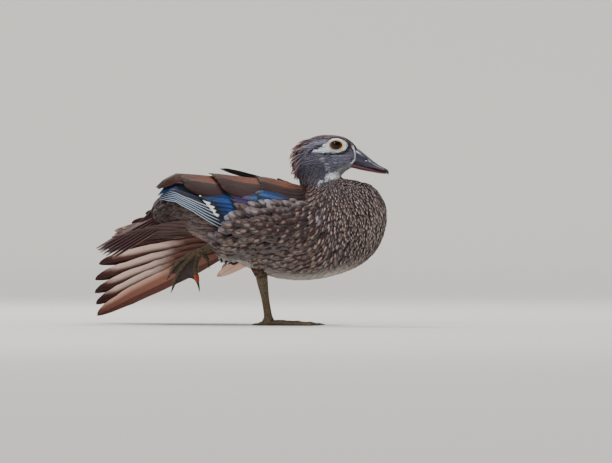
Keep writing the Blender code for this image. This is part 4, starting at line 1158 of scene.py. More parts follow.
def over_torso(x, angle, lift):
    """Places on the torso's right side, at x and an angle round it: the cosine and the sine of
    the angle, times the torso's half width and half height with the lift added."""
    centre, high, wide = torso_at(x)
    turn = np.radians(angle)
    return np.stack([x, -(wide + lift) * np.cos(turn), centre + (high + lift) * np.sin(turn)], axis=-1)


def at(x, z, lift=0.0):
    """x, and the angle round the torso that reaches the height z there, for a lift over it: the
    inverse sine of the height over the half height."""
    centre, high, _ = torso_at(x)
    return x, float(np.degrees(np.arcsin(np.clip((z - centre) / (high + lift), -0.985, 0.985))))


# Wall of a folded vane at its shaft, in millimetres
FOLDED_WALL = 0.45


def side_vane(root, tip, width, lift, rise=0.0, tilt=0.12, share=0.45, bow=0.0, tip_power=5.0):
    """A vane over the torso's side. Root and tip are x and the angle round the torso, the lift
    over it rises to the tip, and the tilt lifts the lower edge. The vane's line is straight in x
    and angle but for its bow, and points across go at a right angle to it."""
    s, a = FINE, np.linspace(-1, 1, COLUMNS)[None]
    x = root[0] + (tip[0] - root[0]) * s
    angle = root[1] + (tip[1] - root[1]) * s + bow * 4 * s * (1 - s)
    _, high, wide = torso_at(x)
    radius = (high + wide) / 2
    ahead = np.gradient(x, s)
    turned = radius * np.radians(np.gradient(angle, s))
    size = np.hypot(ahead, turned)
    shape = web_profile(s, tip_power)
    low_side = width * share * shape * frayed(s, 0.02)
    high_side = width * (1 - share) * shape * frayed(s, 0.02)
    across = np.where(a < 0, a * low_side[:, None], a * high_side[:, None])
    px = x[:, None] + across * (turned / size * -np.sign(ahead))[:, None]
    pa = angle[:, None] + np.degrees(across * (abs(ahead) / size / radius)[:, None])
    arch = 0.03 * width * shape[:, None] * (1 - abs(a) ** 1.6)
    up = lift + rise * s[:, None] - tilt * across + arch
    wall = FOLDED_WALL * (0.4 + 0.6 * (1 - abs(a) ** 1.5)) / 2
    return np.concatenate([over_torso(px, pa, up + wall), over_torso(px, pa, up - wall)[:, ::-1]], axis=1)


def side_tier(count, roots, tips, width, lift, rise, step=0.1, step_rise=0.0, **options):
    """Vanes side by side over the torso's side, evenly from the first root and tip to the last,
    each over the one below by a step."""
    vanes = []
    for i in range(count):
        f = i / (count - 1)
        root, tip = ([a + (b - a) * f for a, b in zip(*ends)] for ends in (roots, tips))
        vanes.append(side_vane(root, tip, width, lift + step * i, rise + step_rise * i, **options))
    return vanes


def right_wing():
    """The folded wing: silver-edged primaries under blue ones, blue secondaries with white ends,
    and coverts with dark end bars."""
    silver = vane_material("folded_primaries", [(0.0, INK), (0.8, INK), (1.0, DEEP)], rim=(0.12, SILVER),
                           shaft=(60, 84, 120), roughness=0.32, metallic=0.2)
    vanes = side_tier(6, (at(-34, 86, 3.6), at(-34, 106, 3.6)), (at(-101, 118, 8.3), at(-92, 124, 9)), 11, 3.4, 4.9,
                      step=0.15, step_rise=0.5, bow=-3, share=0.42, tip_power=3.4)
    fan("wing_right_primary_feathers", vanes, silver, "folded", "wing_right_primaries")
    gloss = vane_material("folded_primary_ends", [(0.0, INK), (0.6, DEEP), (0.75, BLUE), (1.0, BLUE)],
                          rim=(0.05, INK), shaft=INK, roughness=0.45, metallic=0.1)
    vanes = side_tier(4, (at(-20, 102, 4), at(-20, 114, 4)), (at(-103, 121, 7.0), at(-99, 125, 7.4)), 13, 3.2, 3.8,
                      step=0.25, step_rise=0.3, bow=-2, tip_power=3.6)
    fan("wing_right_primary_ends", vanes, gloss, "folded")
    body = [(0.0, DEEP), (0.45, BLUE), (0.70, DEEP), (0.73, INK), (0.80, INK), (0.82, WHITE), (1.0, WHITE)]
    thin = [(0.0, DEEP), (0.5, BLUE), (0.84, DEEP), (0.88, INK), (0.95, INK), (0.97, WHITE), (1.0, WHITE)]
    white = vane_material("speculum", body, shaft=DEEP, roughness=0.3, metallic=0.3)
    narrow = vane_material("speculum_edge", thin, shaft=DEEP, roughness=0.3, metallic=0.3)
    vanes = side_tier(8, (at(-12, 88, 4), at(-12, 114, 4)), (at(-42, 94, 6), at(-64, 120, 8)), 11, 4.0, 1.9,
                      step=0.3, step_rise=0.2, tip_power=9.0)
    fan("wing_right_secondary_feathers", vanes[3:7], white, "folded", "wing_right_secondaries")
    fan("wing_right_secondary_ends", vanes[:3] + vanes[7:], narrow, "folded")
    purple, teal = (58, 44, 84), (16, 76, 116)
    bars = vane_material("greater_coverts", [(0.0, teal), (0.36, teal), (0.55, purple), (0.86, (66, 52, 96)),
                                             (0.90, INK), (1.0, INK)],
                         shaft=(24, 20, 34), roughness=0.32, metallic=0.25)
    vanes = side_tier(5, (at(7, 101, 5.4), at(7, 116, 5.4)), (at(-30, 104, 8), at(-38, 123, 9)), 10, 5.4, 2.8,
                      step=0.28)
    fan("wing_right_covert_feathers", vanes, bars, "folded", "wing_right_coverts")
    small = vane_material("median_coverts", [(0.0, (50, 42, 56)), (0.5, BLUE), (0.84, (14, 66, 112)),
                                             (0.88, INK), (1.0, INK)],
                          shaft=(24, 20, 34), roughness=0.32, metallic=0.25)
    vanes = side_tier(4, (at(20, 108, 5), at(20, 117, 5)), (at(-7, 110, 8), at(-12, 122, 8)), 10, 5.0, 3.4, step=0.3)
    fan("wing_right_median_coverts", vanes, small, "folded")


def back_feathers():
    """Brown rump feathers, tertials, scapulars and shoulder feathers over the folded wing, the lower ones dull and
    the upper ones with a copper band along them that is painted sheen, where light from above catches them."""
    mouse = [(0.0, (42, 29, 28)), (0.6, (54, 38, 37)), (0.9, (48, 33, 32)), (1.0, (76, 52, 45))]
    # Painted sheen: the bright copper middle of this ramp is the warm gloss of light from above, given only to the
    # upper feathers.
    copper = [(0.0, (54, 31, 24)), (0.4, (104, 57, 38)), (0.75, (82, 45, 31)), (1.0, (38, 25, 22))]
    dull = vane_material("tertials_dull", mouse, shaft=(40, 27, 27), roughness=0.62, barbs=100.0)
    copper_sheen = vane_material("tertials_copper_sheen", copper, shaft=(70, 46, 40), roughness=0.45, barbs=100.0)
    rusty = vane_material("rump_feathers", [(0.0, (46, 27, 22)), (0.6, (62, 35, 27)), (1.0, (40, 25, 24))],
                          shaft=(44, 28, 28), roughness=0.5, barbs=100.0)
    vanes = side_tier(5, ((-60, 62), (-60, 86)), ((-103, 66), (-105, 86)), 17, 7.8, 5.2, step=0.2, tilt=0.08)
    fan("wing_right_rump_feathers", vanes, rusty, "back")
    vanes = side_tier(4, ((-10, 49), (-10, 76)), ((-78, 44), (-84, 80)), 24, 3.2, 7.9, step=0.15, tilt=0.08)
    fan("wing_right_tertial_feathers", vanes[:2], dull, "back", "wing_right_tertials")
    fan("wing_right_upper_tertials", vanes[2:], copper_sheen, "back")
    vanes = side_tier(5, ((16, 46), (16, 80)), ((-44, 47), (-56, 80)), 23, 3.0, 7.8, step=0.2, tilt=0.08)
    fan("wing_right_scapular_feathers", vanes[:3], dull, "back", "wing_right_scapulars")
    fan("wing_right_upper_scapulars", vanes[3:], copper_sheen, "back")
    vanes = side_tier(7, ((34, 44), (36, 84)), ((-6, 46), (-12, 82)), 15, 2.4, 5.6, step=0.15, tilt=0.08)
    fan("wing_right_shoulder_feathers", vanes[:4], dull, "back")
    fan("wing_right_shoulder_copper_sheen", vanes[4:], copper_sheen, "back")


# The tail's root, its fall and roll in degrees, its length, and its pairs and half spread
TAIL_ROOT = np.array([-84.0, 0.0, 107.0])
TAIL_PITCH, TAIL_ROLL, TAIL_LENGTH = 27.0, 9.0, 84.0
TAIL_PAIRS, TAIL_SPREAD = 7, 14


def tail_frame(pitch):
    """Back, left and up of a tail that falls by the pitch and is rolled to its left: turns of
    the axes by their sines and cosines."""
    (c, s), (across, up) = heading(pitch), heading(TAIL_ROLL)
    along, rise = np.array([-c, 0, -s]), np.array([-s, 0, c])
    side = np.array([0, across, 0]) + rise * up
    return along, side, unit(rise - side * (rise @ side))


def tail_vanes():
    """Pairs of feathers, spread evenly to each side, the outer ones lower and shorter."""
    along, side, up = tail_frame(TAIL_PITCH)
    root = TAIL_ROOT + along * 6
    vanes = []
    for k in range(-TAIL_PAIRS, TAIL_PAIRS):
        out = abs(k + 0.5) / TAIL_PAIRS
        spread_by = math.radians(TAIL_SPREAD) * (k + 0.5) / TAIL_PAIRS
        drop = math.radians(2) * out
        way = along * math.cos(spread_by) * math.cos(drop) + side * math.sin(spread_by) - up * math.sin(drop)
        stack = 2 * abs(k + 0.5) + (0 if k < 0 else 1) - 1
        start = root + side * (k + 0.5) * 0.8 - up * (0.9 * (stack - 6.5))
        vanes.append(free_vane(start, way, up, TAIL_LENGTH - 6 - 9 * out**2, 18, droop=2, tip=4.5))
    return vanes


def tail_tufts(base, pitch, rows, step, length, half, sag, sign):
    """Rows of soft feathers from a base, each row a step further back: half as far to each side
    as given, their sides dropped with the square of the way out, facing up or down by the sign."""
    ahead, across, rise = tail_frame(pitch)
    tufts = []
    for row in range(rows):
        count = 15 - row // 2
        reach = half * (1 - 0.055 * row)
        for k in range(count):
            f = (k - (count - 1) / 2 + 0.5 * (row % 2)) / (count / 2)
            start = np.array(base, float) + ahead * row * step + across * f * reach
            start = start - sign * rise * (sag * f * f * (1 - 0.05 * row))
            way = ahead - across * f * 0.12 + sign * rise * 0.04
            size = length * RNG.uniform(0.85, 1.1)
            tufts.append(tuft(start, way, sign * rise + across * f * 1.2, size, 9.0, droop=2.5,
                              roll=RNG.normal(0, 5), tip=3.4))
    return tufts


def make_tail():
    """The tail's roof of feathers, the middle pair on top, and the soft coverts that hide its base."""
    dark = vane_material("tail", [(0.0, (62, 44, 46)), (0.7, (72, 52, 54)), (0.92, (62, 45, 47)),
                                  (1.0, (140, 98, 88))],
                         rim=(0.09, (126, 94, 96)), shaft=(48, 36, 38), roughness=0.45, barbs=110.0)
    fan("tail_flight_feathers", tail_vanes(), dark, "flight", "tail_feathers")
    soft = vane_material("tail_coverts_soft", [(0.0, (58, 40, 38)), (0.7, (74, 50, 46)), (1.0, (96, 66, 58))],
                         roughness=0.65, barbs=40.0, cloud=0.6)
    pale = vane_material("tail_coverts_pale", [(0.0, (84, 68, 66)), (0.6, (98, 80, 78)), (0.85, (114, 94, 90)),
                                               (1.0, (168, 146, 138))],
                         roughness=0.7, barbs=40.0, cloud=0.6)
    tufts = tail_tufts((-84, 0, 129.5), 43, rows=7, step=5.0, length=27, half=18, sag=19.0, sign=1)
    fan("tail_covert_feathers_upper", tufts, soft, "flank", "tail_coverts_upper")
    tufts = tail_tufts((-66, 0, 85), 7, rows=8, step=6.5, length=34, half=21, sag=17.0, sign=-1)
    fan("tail_covert_feathers_under", tufts, pale, "flank", "tail_coverts_under")


# Limbs

def limb(path, widths, depths, up=(0, 0, 1), sides=24, steps=28, flat=0.0):
    """A tube on a smooth path, an oval in section: the cosine and the sine times the half sizes,
    the sine cut off below where flat is above 0."""
    rows = smooth_rows(np.column_stack([path, widths, depths]), steps)
    path, widths, depths = rows[:, :3], rows[:, 3], rows[:, 4]
    ahead = unit(np.gradient(path, axis=0))
    side = unit(np.cross(np.asarray(up, float), ahead))
    top = np.cross(ahead, side)
    turn = -math.pi / 2 + turns(sides)
    across, rise = widths[:, None] * np.cos(turn), depths[:, None] * np.maximum(np.sin(turn), flat - 1)
    return path[:, None] + side[:, None] * across[..., None] + top[:, None] * rise[..., None]


def limb_uv(stations, sides):
    """The share of the turn, and the station from 0 to 1."""
    s = np.linspace(0, 1, stations)
    return np.stack(np.broadcast_arrays((np.arange(sides) / sides)[None], s[:, None]), axis=-1)


def leg_material():
    """Olive skin of small plates, the seams between them dark, clouded with brown."""
    web = Finish("leg_skin", 0.5, specular=0.45)
    cells = web.nodes.new("ShaderNodeTexVoronoi")
    cells.inputs["Scale"].default_value = 620.0
    web.links.new(web.nodes.new("ShaderNodeTexCoord").outputs["Object"], cells.inputs["Vector"])
    far = cells.outputs["Distance"]
    plate = web.ramp(far, [(0.0, (122, 100, 64)), (0.55, (92, 76, 52)), (0.8, (36, 29, 24))])
    web.bump(far, -0.5, 0.0004)
    return web.paint(web.mix(web.noise(110.0), plate, (62, 52, 42)))


def clouded(name, roughness, scale, dark, light, detail=3.0, pits=0.0, **options):
    """A finish of clouds of two tones, with fine pits where they are given."""
    web = Finish(name, roughness, **options)
    if pits:
        web.bump(web.noise(pits, 4.0), 0.5, 0.0003)
    return web.paint(web.ramp(web.noise(scale, detail), [(0.3, dark), (0.7, light)]))


def joined(name, parts, material, slot, *nodes):
    """Several tubes of different sizes as one mesh, each in a column of its own on the map."""
    parts = [turned_out(rings[None])[0][0] for rings in parts]
    uv = np.vstack([
        limb_uv(*rings.shape[:2]).reshape(-1, 2) * [0.05, 0.9] + [0.06 * i + 0.01, 0.04]
        for i, rings in enumerate(parts)
    ])
    return dress(to_mesh(name, *stitched(parts), uv), material, slot, *nodes)


def web(first, second, thick, sag, up):
    """A sheet of skin between two toes: points straight across from one to the other, drawn back
    by the sag between them, with fine waves as a sine across."""
    first, second = smooth_rows(first, 18), smooth_rows(second, 18)
    u = np.linspace(0.02, 0.98, 12)[None, :, None]
    s = np.linspace(0, 1, 18)[:, None, None]
    sheet = first[:, None] * (1 - u) + second[:, None] * u
    back = unit((first[0] + second[0]) - (first[-1] + second[-1]))
    sheet = sheet + back * sag * s**2 * 4 * u * (1 - u)
    half = np.asarray(up, float) * thick / 2
    wave = np.asarray(up, float) * 0.25 * np.sin(u * 40) * s
    return np.concatenate([sheet + half + wave, (sheet - half + wave)[:, ::-1]], axis=1)


def claw_rings(base, way, length, radius, curl, up):
    """A claw: its path drops by the curl with the square of the way along, and it thins to 18%."""
    s = np.linspace(0, 1, 12)
    path = base + unit(way) * length * s[:, None] - np.asarray(up) * curl * (s**2)[:, None]
    taper = radius * (1 - 0.82 * s**1.3)
    return limb(path, taper, taper, up=up, sides=14, steps=14)


def claw(foot, toe, *shape):
    """One toe's claw. The shape is what claw_rings takes."""
    joined(f"claw_tip_{foot}_{toe}", [claw_rings(*shape)], CLAW, "claw", f"claw_{foot}_{toe}")


def knobbed(s, places, sizes):
    """A toe's half size along it, from its sizes at places, swelling at each joint: times 1 and
    a tenth of the cosine of three and a half turns."""
    return np.interp(s, places, sizes) * (1 + 0.10 * np.cos(s * 2 * math.pi * 3.5))


def foot_webs(foot, paths, sag, up):
    """The sheets of skin between the toes of one foot."""
    webs = [web(paths[a][2:], paths[b][2:], 0.8, sag, up) for a, b in (("inner", "middle"), ("middle", "outer"))]
    joined(f"foot_{foot}_webs", webs, WEB, "skin")


# Each front toe's angle and length on the floor, and the hind toe's angle
TOES = {"inner": (27, 38), "middle": (1, 47), "outer": (-23, 44)}
HIND_TOE = 172
# The standing leg's heel joint, and the stretched one's with its foot's base, tips and arch
HOCK = np.array([-5.9, -14.0, 46.5])
LEFT_HOCK, LEFT_TOE_BASE = np.array([-32.0, 47.0, 84.0]), np.array([-62.6, 61.0, 69.0])
LEFT_TOE_TIPS = {"inner": (-66.0, 54.0, 37.0), "middle": (-90.0, 66.0, 35.5), "outer": (-93.5, 74.0, 46.5)}
LEFT_TOE_ARCH = np.array([-4.0, -2.0, 2.5])
LEG = leg_material()
WEB = clouded("web_skin", 0.55, 260.0, (38, 30, 34), (70, 56, 56), detail=5.0, pits=900.0, specular=0.4)
CLAW = clouded("claw_horn", 0.3, 500.0, (24, 20, 20), (46, 38, 34), coat=0.3)


UP = (0, 0, 1)


def right_foot():
    """The standing foot: toes on the floor at their angles, their undersides flattened."""
    ankle = np.array([0, -MIDLINE[1], 0.0])
    low = ankle + (0, 0, 5)
    tarsus = limb([HOCK + (-3, -9, 12), HOCK + (-0.5, -1.0, 3), HOCK + (0, 0.5, -3), HOCK * 0.5 + low * 0.5,
                   low + (-0.6, 0, 6), low], [4.6, 4.3, 4.6, 2.9, 3.0, 3.6], [5.2, 5.2, 5.4, 3.7, 3.8, 4.6],
                  up=(1, 0, 0), steps=40)
    joined("leg_right_skin", [tarsus], LEG, "skin", "leg_right_tarsus")
    parts = [limb([ankle + (0, 0, 0.1), ankle + (0, 0, 3), ankle + (0, 0, 7), ankle + (0, 0, 9)],
                  [5.2, 5.6, 4.2, 3.2], [6.2, 6.4, 4.6, 3.8], up=(1, 0, 0))]
    s, places, paths = np.linspace(0, 1, 13), [0, 0.25, 0.5, 0.78, 1], {}
    for name, (angle, length) in TOES.items():
        way = np.array(heading(angle))
        path = ankle[:2] + way * length * s[:, None]
        high, wide = (knobbed(s, places, sizes) for sizes in ([3.4, 2.8, 2.5, 2.1, 1.2], [3.2, 2.8, 2.6, 2.2, 1.3]))
        parts.append(limb(np.column_stack([path, 0.8 * high]), wide, high, flat=0.2, steps=40))
        paths[name] = np.column_stack([path, np.full(len(s), 1.0)])
        claw("right", name, np.array([*path[-1], 1.5]) - np.array([*way, 0]) * 0.6, (*way, 0), 6.6, 1.15, 0.7, UP)
    way = np.array(heading(HIND_TOE))
    path = ankle[:2] + way * np.array([[3], [7], [11]])
    parts.append(limb(np.column_stack([path, [2.1, 1.6, 0.9]]), [2.0, 1.8, 1.1], [2.6, 2.0, 1.1], flat=0.2))
    claw("right", "hind", np.array([*path[-1], 1.4]), (*way, 0), 4.8, 1.0, 0.6, UP)
    joined("foot_right_toes", parts, LEG, "skin", "foot_right")
    foot_webs("right", paths, 7, UP)


def left_foot():
    """The stretched foot: toes from their base to their tips, arched by four times s times 1 - s."""
    hock, base = LEFT_HOCK, LEFT_TOE_BASE
    tarsus = limb([hock + (14, -8, 3), hock + (4, -2, 1), hock, (hock + base) / 2, base], [4.4, 4.2, 4.4, 2.8, 3.2],
                  [5.4, 5.0, 5.2, 3.6, 3.6], steps=40)
    joined("leg_left_skin", [tarsus], LEG, "skin", "leg_left_tarsus")
    red, spot = clouded("toe_spot", 0.5, 300.0, (150, 50, 34), (196, 92, 60)), [2.5, 2.45, 2.0]
    palm = unit(np.array([0.55, -0.75, 0.25]))
    parts, paths = [ball(base + unit(base - hock) * 2.5, (4.6, 4.6, 4.2))], {}
    s, places = np.linspace(0, 1, 13), [0, 0.25, 0.5, 0.75, 1]
    along = s[:, None]
    for name, tip in LEFT_TOE_TIPS.items():
        path = base + (np.array(tip) - base) * along + LEFT_TOE_ARCH * 4 * along * (1 - along)
        size = knobbed(s, places, [3.0, 2.6, 2.4, 2.1, 1.2])
        parts.append(limb(path, size, size, up=palm, steps=40))
        paths[name] = path
        way = unit(path[-1] - path[-2])
        claw("left", name, path[-1] - way * 0.5, way, 6.6, 1.1, 1.3, palm)
        if name == "inner":
            joined("toe_spot_left", [limb(path[9:12], spot, spot, up=palm, steps=8)], red, "skin")
    start = base + np.array([2.0, 0, -4.0])
    path = np.array([start, start + (3.0, -1.0, -4.0), start + (4.0, -2.0, -8.0)])
    parts.append(limb(path, [1.9, 1.7, 1.0], [1.9, 1.7, 1.0], up=palm))
    claw("left", "hind", path[-1], unit(path[-1] - path[-2]), 4.5, 0.9, 0.9, palm)
    joined("foot_left_toes", parts, LEG, "skin", "foot_left")
    foot_webs("left", paths, 8, palm)


# Distance between the limb feathers' roots round a ring
RING_STEP = 3.6


def limb_feathers():
    """Soft feathers on the two shanks and on the upper arm, laid down each limb in rings."""
    soft = vane_material("limb_feathers", [(0.0, (46, 35, 35)), (0.6, (60, 46, 44)), (1.0, (112, 92, 84))],
                         roughness=0.75, barbs=20.0, cloud=0.6)
    limbs = (
        ("leg_right_feathers", [HOCK + (-4, -10, 24), HOCK + (-3, -6, 10), HOCK + (-0.5, -1, 1.5)],
         [11.5, 7.6, 4.4], 10.0, 9),
        ("leg_left_feathers", [LEFT_HOCK + (32, -17, 4), LEFT_HOCK + (14, -8, 3), LEFT_HOCK + (2, -1, 0.4)],
         [12, 8, 4.6], 10.0, 9),
        ("wing_left_arm_feathers", [SHOULDER, (SHOULDER + ELBOW) / 2, ELBOW, ELBOW + (-4, 4, -2.5)],
         [12.5, 9.2, 7.2, 4.5], 13.0, 14),
    )
    for name, path, radii, length, rows in limbs:
        line = smooth_rows(np.column_stack([path, radii]), rows)
        ahead = unit(np.gradient(line[:, :3], axis=0))
        vanes, places = [], []
        for row in range(rows):
            a = ahead[row]
            u = unit(np.cross(a, (0, 0, 1)) + 1e-6)
            v = np.cross(a, u)
            count = max(8, int(2 * math.pi * line[row, 3] / RING_STEP))
            for k in range(count):
                turn = 2 * math.pi * (k + 0.5 * (row % 2)) / count
                out = math.cos(turn) * u + math.sin(turn) * v
                root = line[row, :3] + out * (line[row, 3] - 1.2)
                places.append((0.02 + 0.96 * turn / (2 * math.pi + 0.4), 0.02 + 0.96 * row / rows))
                size = length * RNG.uniform(0.85, 1.15)
                vanes.append(tuft(root, a + out * 0.05, out, size, 5.2, droop=2.0, roll=RNG.normal(0, 6), tip=3.6))
        fan(name, vanes, soft, "flank", places=places)


# Head

def lid_surface(side, inner, outer, over, section):
    """Points of a band round the eye's opening on a ball a little over the eyeball. The band
    runs from the opening's oval to a wider one; section gives the way across and the height."""
    turn = turns(56)
    across, high = section
    reach = [inner[i] + (outer[i] - inner[i]) * across[None] for i in (0, 1)]
    flat = np.stack([np.cos(turn)[:, None] * reach[0], np.sin(turn)[:, None] * reach[1]], axis=-1)
    radius = EYE["radius"] + over + high[None]
    depth = np.sqrt(np.maximum(radius**2 - (flat**2).sum(axis=-1), 0.01))
    y = side * (EYE["from_midline"] + depth)
    return np.stack([EYE["x"] + flat[..., 0], y, EYE["z"] + flat[..., 1]], axis=-1)


def closed_band(name, points, side, tint=None):
    """A ring of rings as one mesh, its faces turned outwards on either side of the head."""
    rows, columns = points.shape[:2]
    i, j = np.meshgrid(np.arange(rows), np.arange(columns), indexing="ij")
    k, m = (i + 1) % rows, (j + 1) % columns
    quads = np.stack([i * columns + j, k * columns + j, k * columns + m, i * columns + m], axis=-1).reshape(-1, 4)
    if side < 0:
        quads = quads[:, ::-1]
    uv = np.stack([i / rows, j / columns], axis=-1).reshape(-1, 2)
    shade = None if tint is None else np.tile(rgb(tint), (rows * columns, 1))
    return to_mesh(name, points.reshape(-1, 3), quads, uv, tint=shade)


def eye_material():
    """Clear gloss over the pupil, the brown iris and its dark rim, by the angle from the front."""
    web = Finish("eye", 0.04, specular=0.3)
    return web.paint(web.ramp(web.on_vane()[1], [(0.0, (2, 2, 3)), (0.15, (2, 2, 3)), (0.17, (60, 26, 18)),
                                                 (0.30, (108, 52, 32)), (0.36, (14, 8, 8))]))


def eyelid_material():
    """Yellow skin, brighter towards the bill, in pale clouds and with fine bumps."""
    web = Finish("eyelid", 0.45, specular=0.4)
    tone = web.ramp(web.step(web.in_object()[0], 0.058, 85.0),
                    [(0.0, (96, 72, 44)), (0.5, (150, 112, 46)), (1.0, (222, 166, 56))])
    web.bump(web.noise(2600.0), 0.4, 0.0002)
    return web.paint(web.mix(web.times(web.noise(900.0), 0.5), tone, (236, 214, 150)))


def eyeball(side):
    """A ball of rings round the eye's axis, which looks a little forwards and up."""
    lat = np.linspace(0.03, math.pi - 0.03, 28)[:, None]
    turn = turns(36)[None]
    axis = unit(np.array([0.06, side, 0.03]))
    u = unit(np.cross(axis, (0, 0, 1)))
    v = np.cross(axis, u)
    around = u * np.cos(turn)[..., None] + v * np.sin(turn)[..., None]
    shape = axis * np.cos(lat)[..., None] + around * np.sin(lat)[..., None]
    uv = np.stack(np.broadcast_arrays(turn / 6.2832, lat / math.pi), axis=-1)
    return (eye_centre(side) + EYE["radius"] * shape)[None], uv


def make_eyes():
    """A dark brown eye under clear gloss, the yellow rim of the lids, and the pale skin round it."""
    brown, yellow = eye_material(), eyelid_material()
    skin = coat_material("lid_skin", (220, 226, 236), (0.3, 0.2))
    # Half an oval over the band: its way across from 0 to 1, and its height
    turn = turns(12)
    fold = (0.5 - 0.5 * np.cos(turn), 0.42 * np.sin(turn))
    for side, name in ((-1, "right"), (1, "left")):
        dress(tubes("eyeball_" + name, *eyeball(side)), brown, "eye", "eye_" + name)
        rim = lid_surface(side, (5.6, 4.0), (6.9, 5.1), 0.3, fold)
        dress(closed_band("eyelid_" + name, rim, side), yellow, "face")
        around = lid_surface(side, (6.6, 4.9), (7.7, 6.4), 0.15, fold)
        dress(closed_band("lid_skin_" + name, around, side, FACE_WHITE), skin, "face")


CREST_CANDIDATES, CREST_SPACING = 9000, 1.9


def make_crest(tree):
    """The shaggy crest: narrow feathers from the back of the crown down the nape. Each follows
    the skin and then leaves it, its end free and pinkish."""
    x = RNG.uniform(22, 44, CREST_CANDIDATES)
    around = RNG.uniform(-math.pi * 0.62, math.pi * 0.62, len(x))
    aim = np.stack([x, 20 * np.sin(around), 156 + 24 * np.cos(around)], axis=1)
    place, normal = nearest(tree, aim)
    nape = (place[:, 0] < 40) & (place[:, 2] > 139) & (normal[:, 0] < -0.12) & (abs(place[:, 1]) < 13.5)
    place, normal = place[nape], normal[nape]
    kept = spread(place, np.full(len(place), CREST_SPACING))
    place, normal = place[kept], normal[kept]
    way = coat_flow(place) + RNG.normal(0, 0.12, place.shape)
    way = unit(way - normal * (way * normal).sum(axis=1, keepdims=True))
    count = len(place)
    length = RNG.uniform(8.5, 13.5, count)
    # A draw that nothing takes, so that the ones after it stay as they are
    RNG.random(count)
    length = length * ease(43, 36, place[:, 0]) + 4
    material = coat_material("crest", (150, 108, 104), (0.3, 0.2), barbs=5.0)
    coat_piece("crest_feathers", tree, place, way, length, np.full(count, 1.9), np.full(count, 0.8),
               np.full(count, 0.85), material, "face", rise=0.34, thick=0.2, tone=(158, 116, 108))


# Rows of the two halves of the bill: x, top, bottom, half width
BILL_UPPER = np.array([
    (78, 167.0, 150.2, 7.4), (85, 163.2, 147.9, 7.8), (92, 157.4, 146.0, 7.5), (99, 151.8, 144.8, 7.2),
    (106, 147.8, 143.3, 6.8), (109.4, 146.2, 141.6, 5.9), (111.4, 144.6, 140.5, 4.2), (112.2, 143.2, 140.8, 2.2),
])
BILL_LOWER = np.array([
    (75, 151.6, 147.2, 5.6), (88, 148.6, 144.2, 6.0), (98, 145.8, 142.4, 5.7), (105, 144.2, 141.2, 4.8),
    (109.4, 142.8, 141.0, 3.0),
])


def bill_rings(rows, steps):
    """A loft through rows of x, top, bottom and half width."""
    return loft_points(smooth_rows(between(rows), steps), 44, 2.3)


def bill_material():
    """Slate horn with a pink lower edge, a lavender strip just over the mouth's line and a pale top that are painted
    highlights, clouded, and a dark nail. The ramp goes by the height above the mouth's line, which falls forwards."""
    web = Finish("bill_horn", 0.32, coat=0.15, specular=0.5)
    x, _, z = web.in_object()
    above = web.minus(z, web.minus(0.1650, web.times(x, 0.200)))
    # Painted highlights: the lavender stop at 0.08 is the gloss along the lower side, and the pale top is the gloss
    # along the ridge.
    horn = web.ramp(web.times(above, 60.0, clamp=True),
                    [(0.0, (92, 44, 54)), (0.04, (104, 52, 60)), (0.055, (20, 18, 30)), (0.08, (92, 92, 118)),
                     (0.2, (54, 52, 68)), (0.7, (48, 47, 62)), (1.0, (104, 102, 118))])
    horn = web.mix(web.times(web.noise(190.0, 4.0), 0.35), horn, (36, 34, 46))
    web.bump(web.noise(1400.0), 0.25, 0.0002)
    return web.paint(web.mix(web.step(x, 0.1072, 900.0), horn, (26, 24, 30)))


def make_bill():
    """The upper half with its ridge, pressed-in nostrils and dark nail, and the lower half, with near-black caps in
    the nostrils as painted shade of their openings. The hollows and the ridge are bells: the exponential of less the
    square of the way from them."""
    horn = bill_material()
    rings = bill_rings(BILL_UPPER, 48)
    flat = rings.reshape(-1, 3)
    for side in (-1, 1):
        far = np.sqrt(((flat[:, 0] - 91.0) / 2.6) ** 2 + ((flat[:, 2] - 154.2) / 1.3) ** 2)
        flat[:, 1] -= side * (np.exp(-far**2 * 1.6) * 1.9 * (side * flat[:, 1] > 0))
    flat[:, 2] += np.exp(-(flat[:, 1] / 2.0) ** 2) * 0.5 * (flat[:, 2] > 150)
    joined("bill_upper_half", [flat.reshape(rings.shape)], horn, "bill", "bill_upper")
    joined("bill_lower_half", [bill_rings(BILL_LOWER, 36)], horn, "bill", "bill_lower")
    # Painted shade: near-black caps in the nostrils' hollows stand for the shade inside the openings.
    hole = clouded("nostril", 0.8, 900.0, (10, 8, 10), (26, 20, 26), specular=0.1)
    parts = [ball((91.0, side * 4.5, 154.3), (2.0, 1.5, 0.9), 10, 16) for side in (-1, 1)]
    joined("nostrils", parts, hole, "bill")


# The floor's flat and the round of its bend, the backdrop's height and the points round it, in metres
FLOOR, BEND, BACKDROP, FLOOR_SIDES = 11, 4, 10.0, 64
AIM = (0, 0, 0.1)
# Each light's kind, place, size or angle, power and colour
LIGHTS = {
    "sun": ("SUN", (0.6, -0.55, 1.5), 0.35, 2.6, (1.0, 0.95, 0.88)),
    "rim": ("AREA", (-0.6, 1.2, 1.5), 0.8, 22, (1.0, 0.96, 0.9)),
    "fill": ("AREA", (-1.2, -2.2, 0.6), 1.4, 3, (0.9, 0.95, 1.0)),
    "sparkle": ("AREA", (-0.50, -1.15, 0.96), 0.16, 5.0, (1.0, 1.0, 1.0)),
}
SKY, SKY_STRENGTH = (0.84, 0.91, 1.0, 1), 0.55
CAMERA, LENS = (0.035, -6.0, 0.0875), 379.5


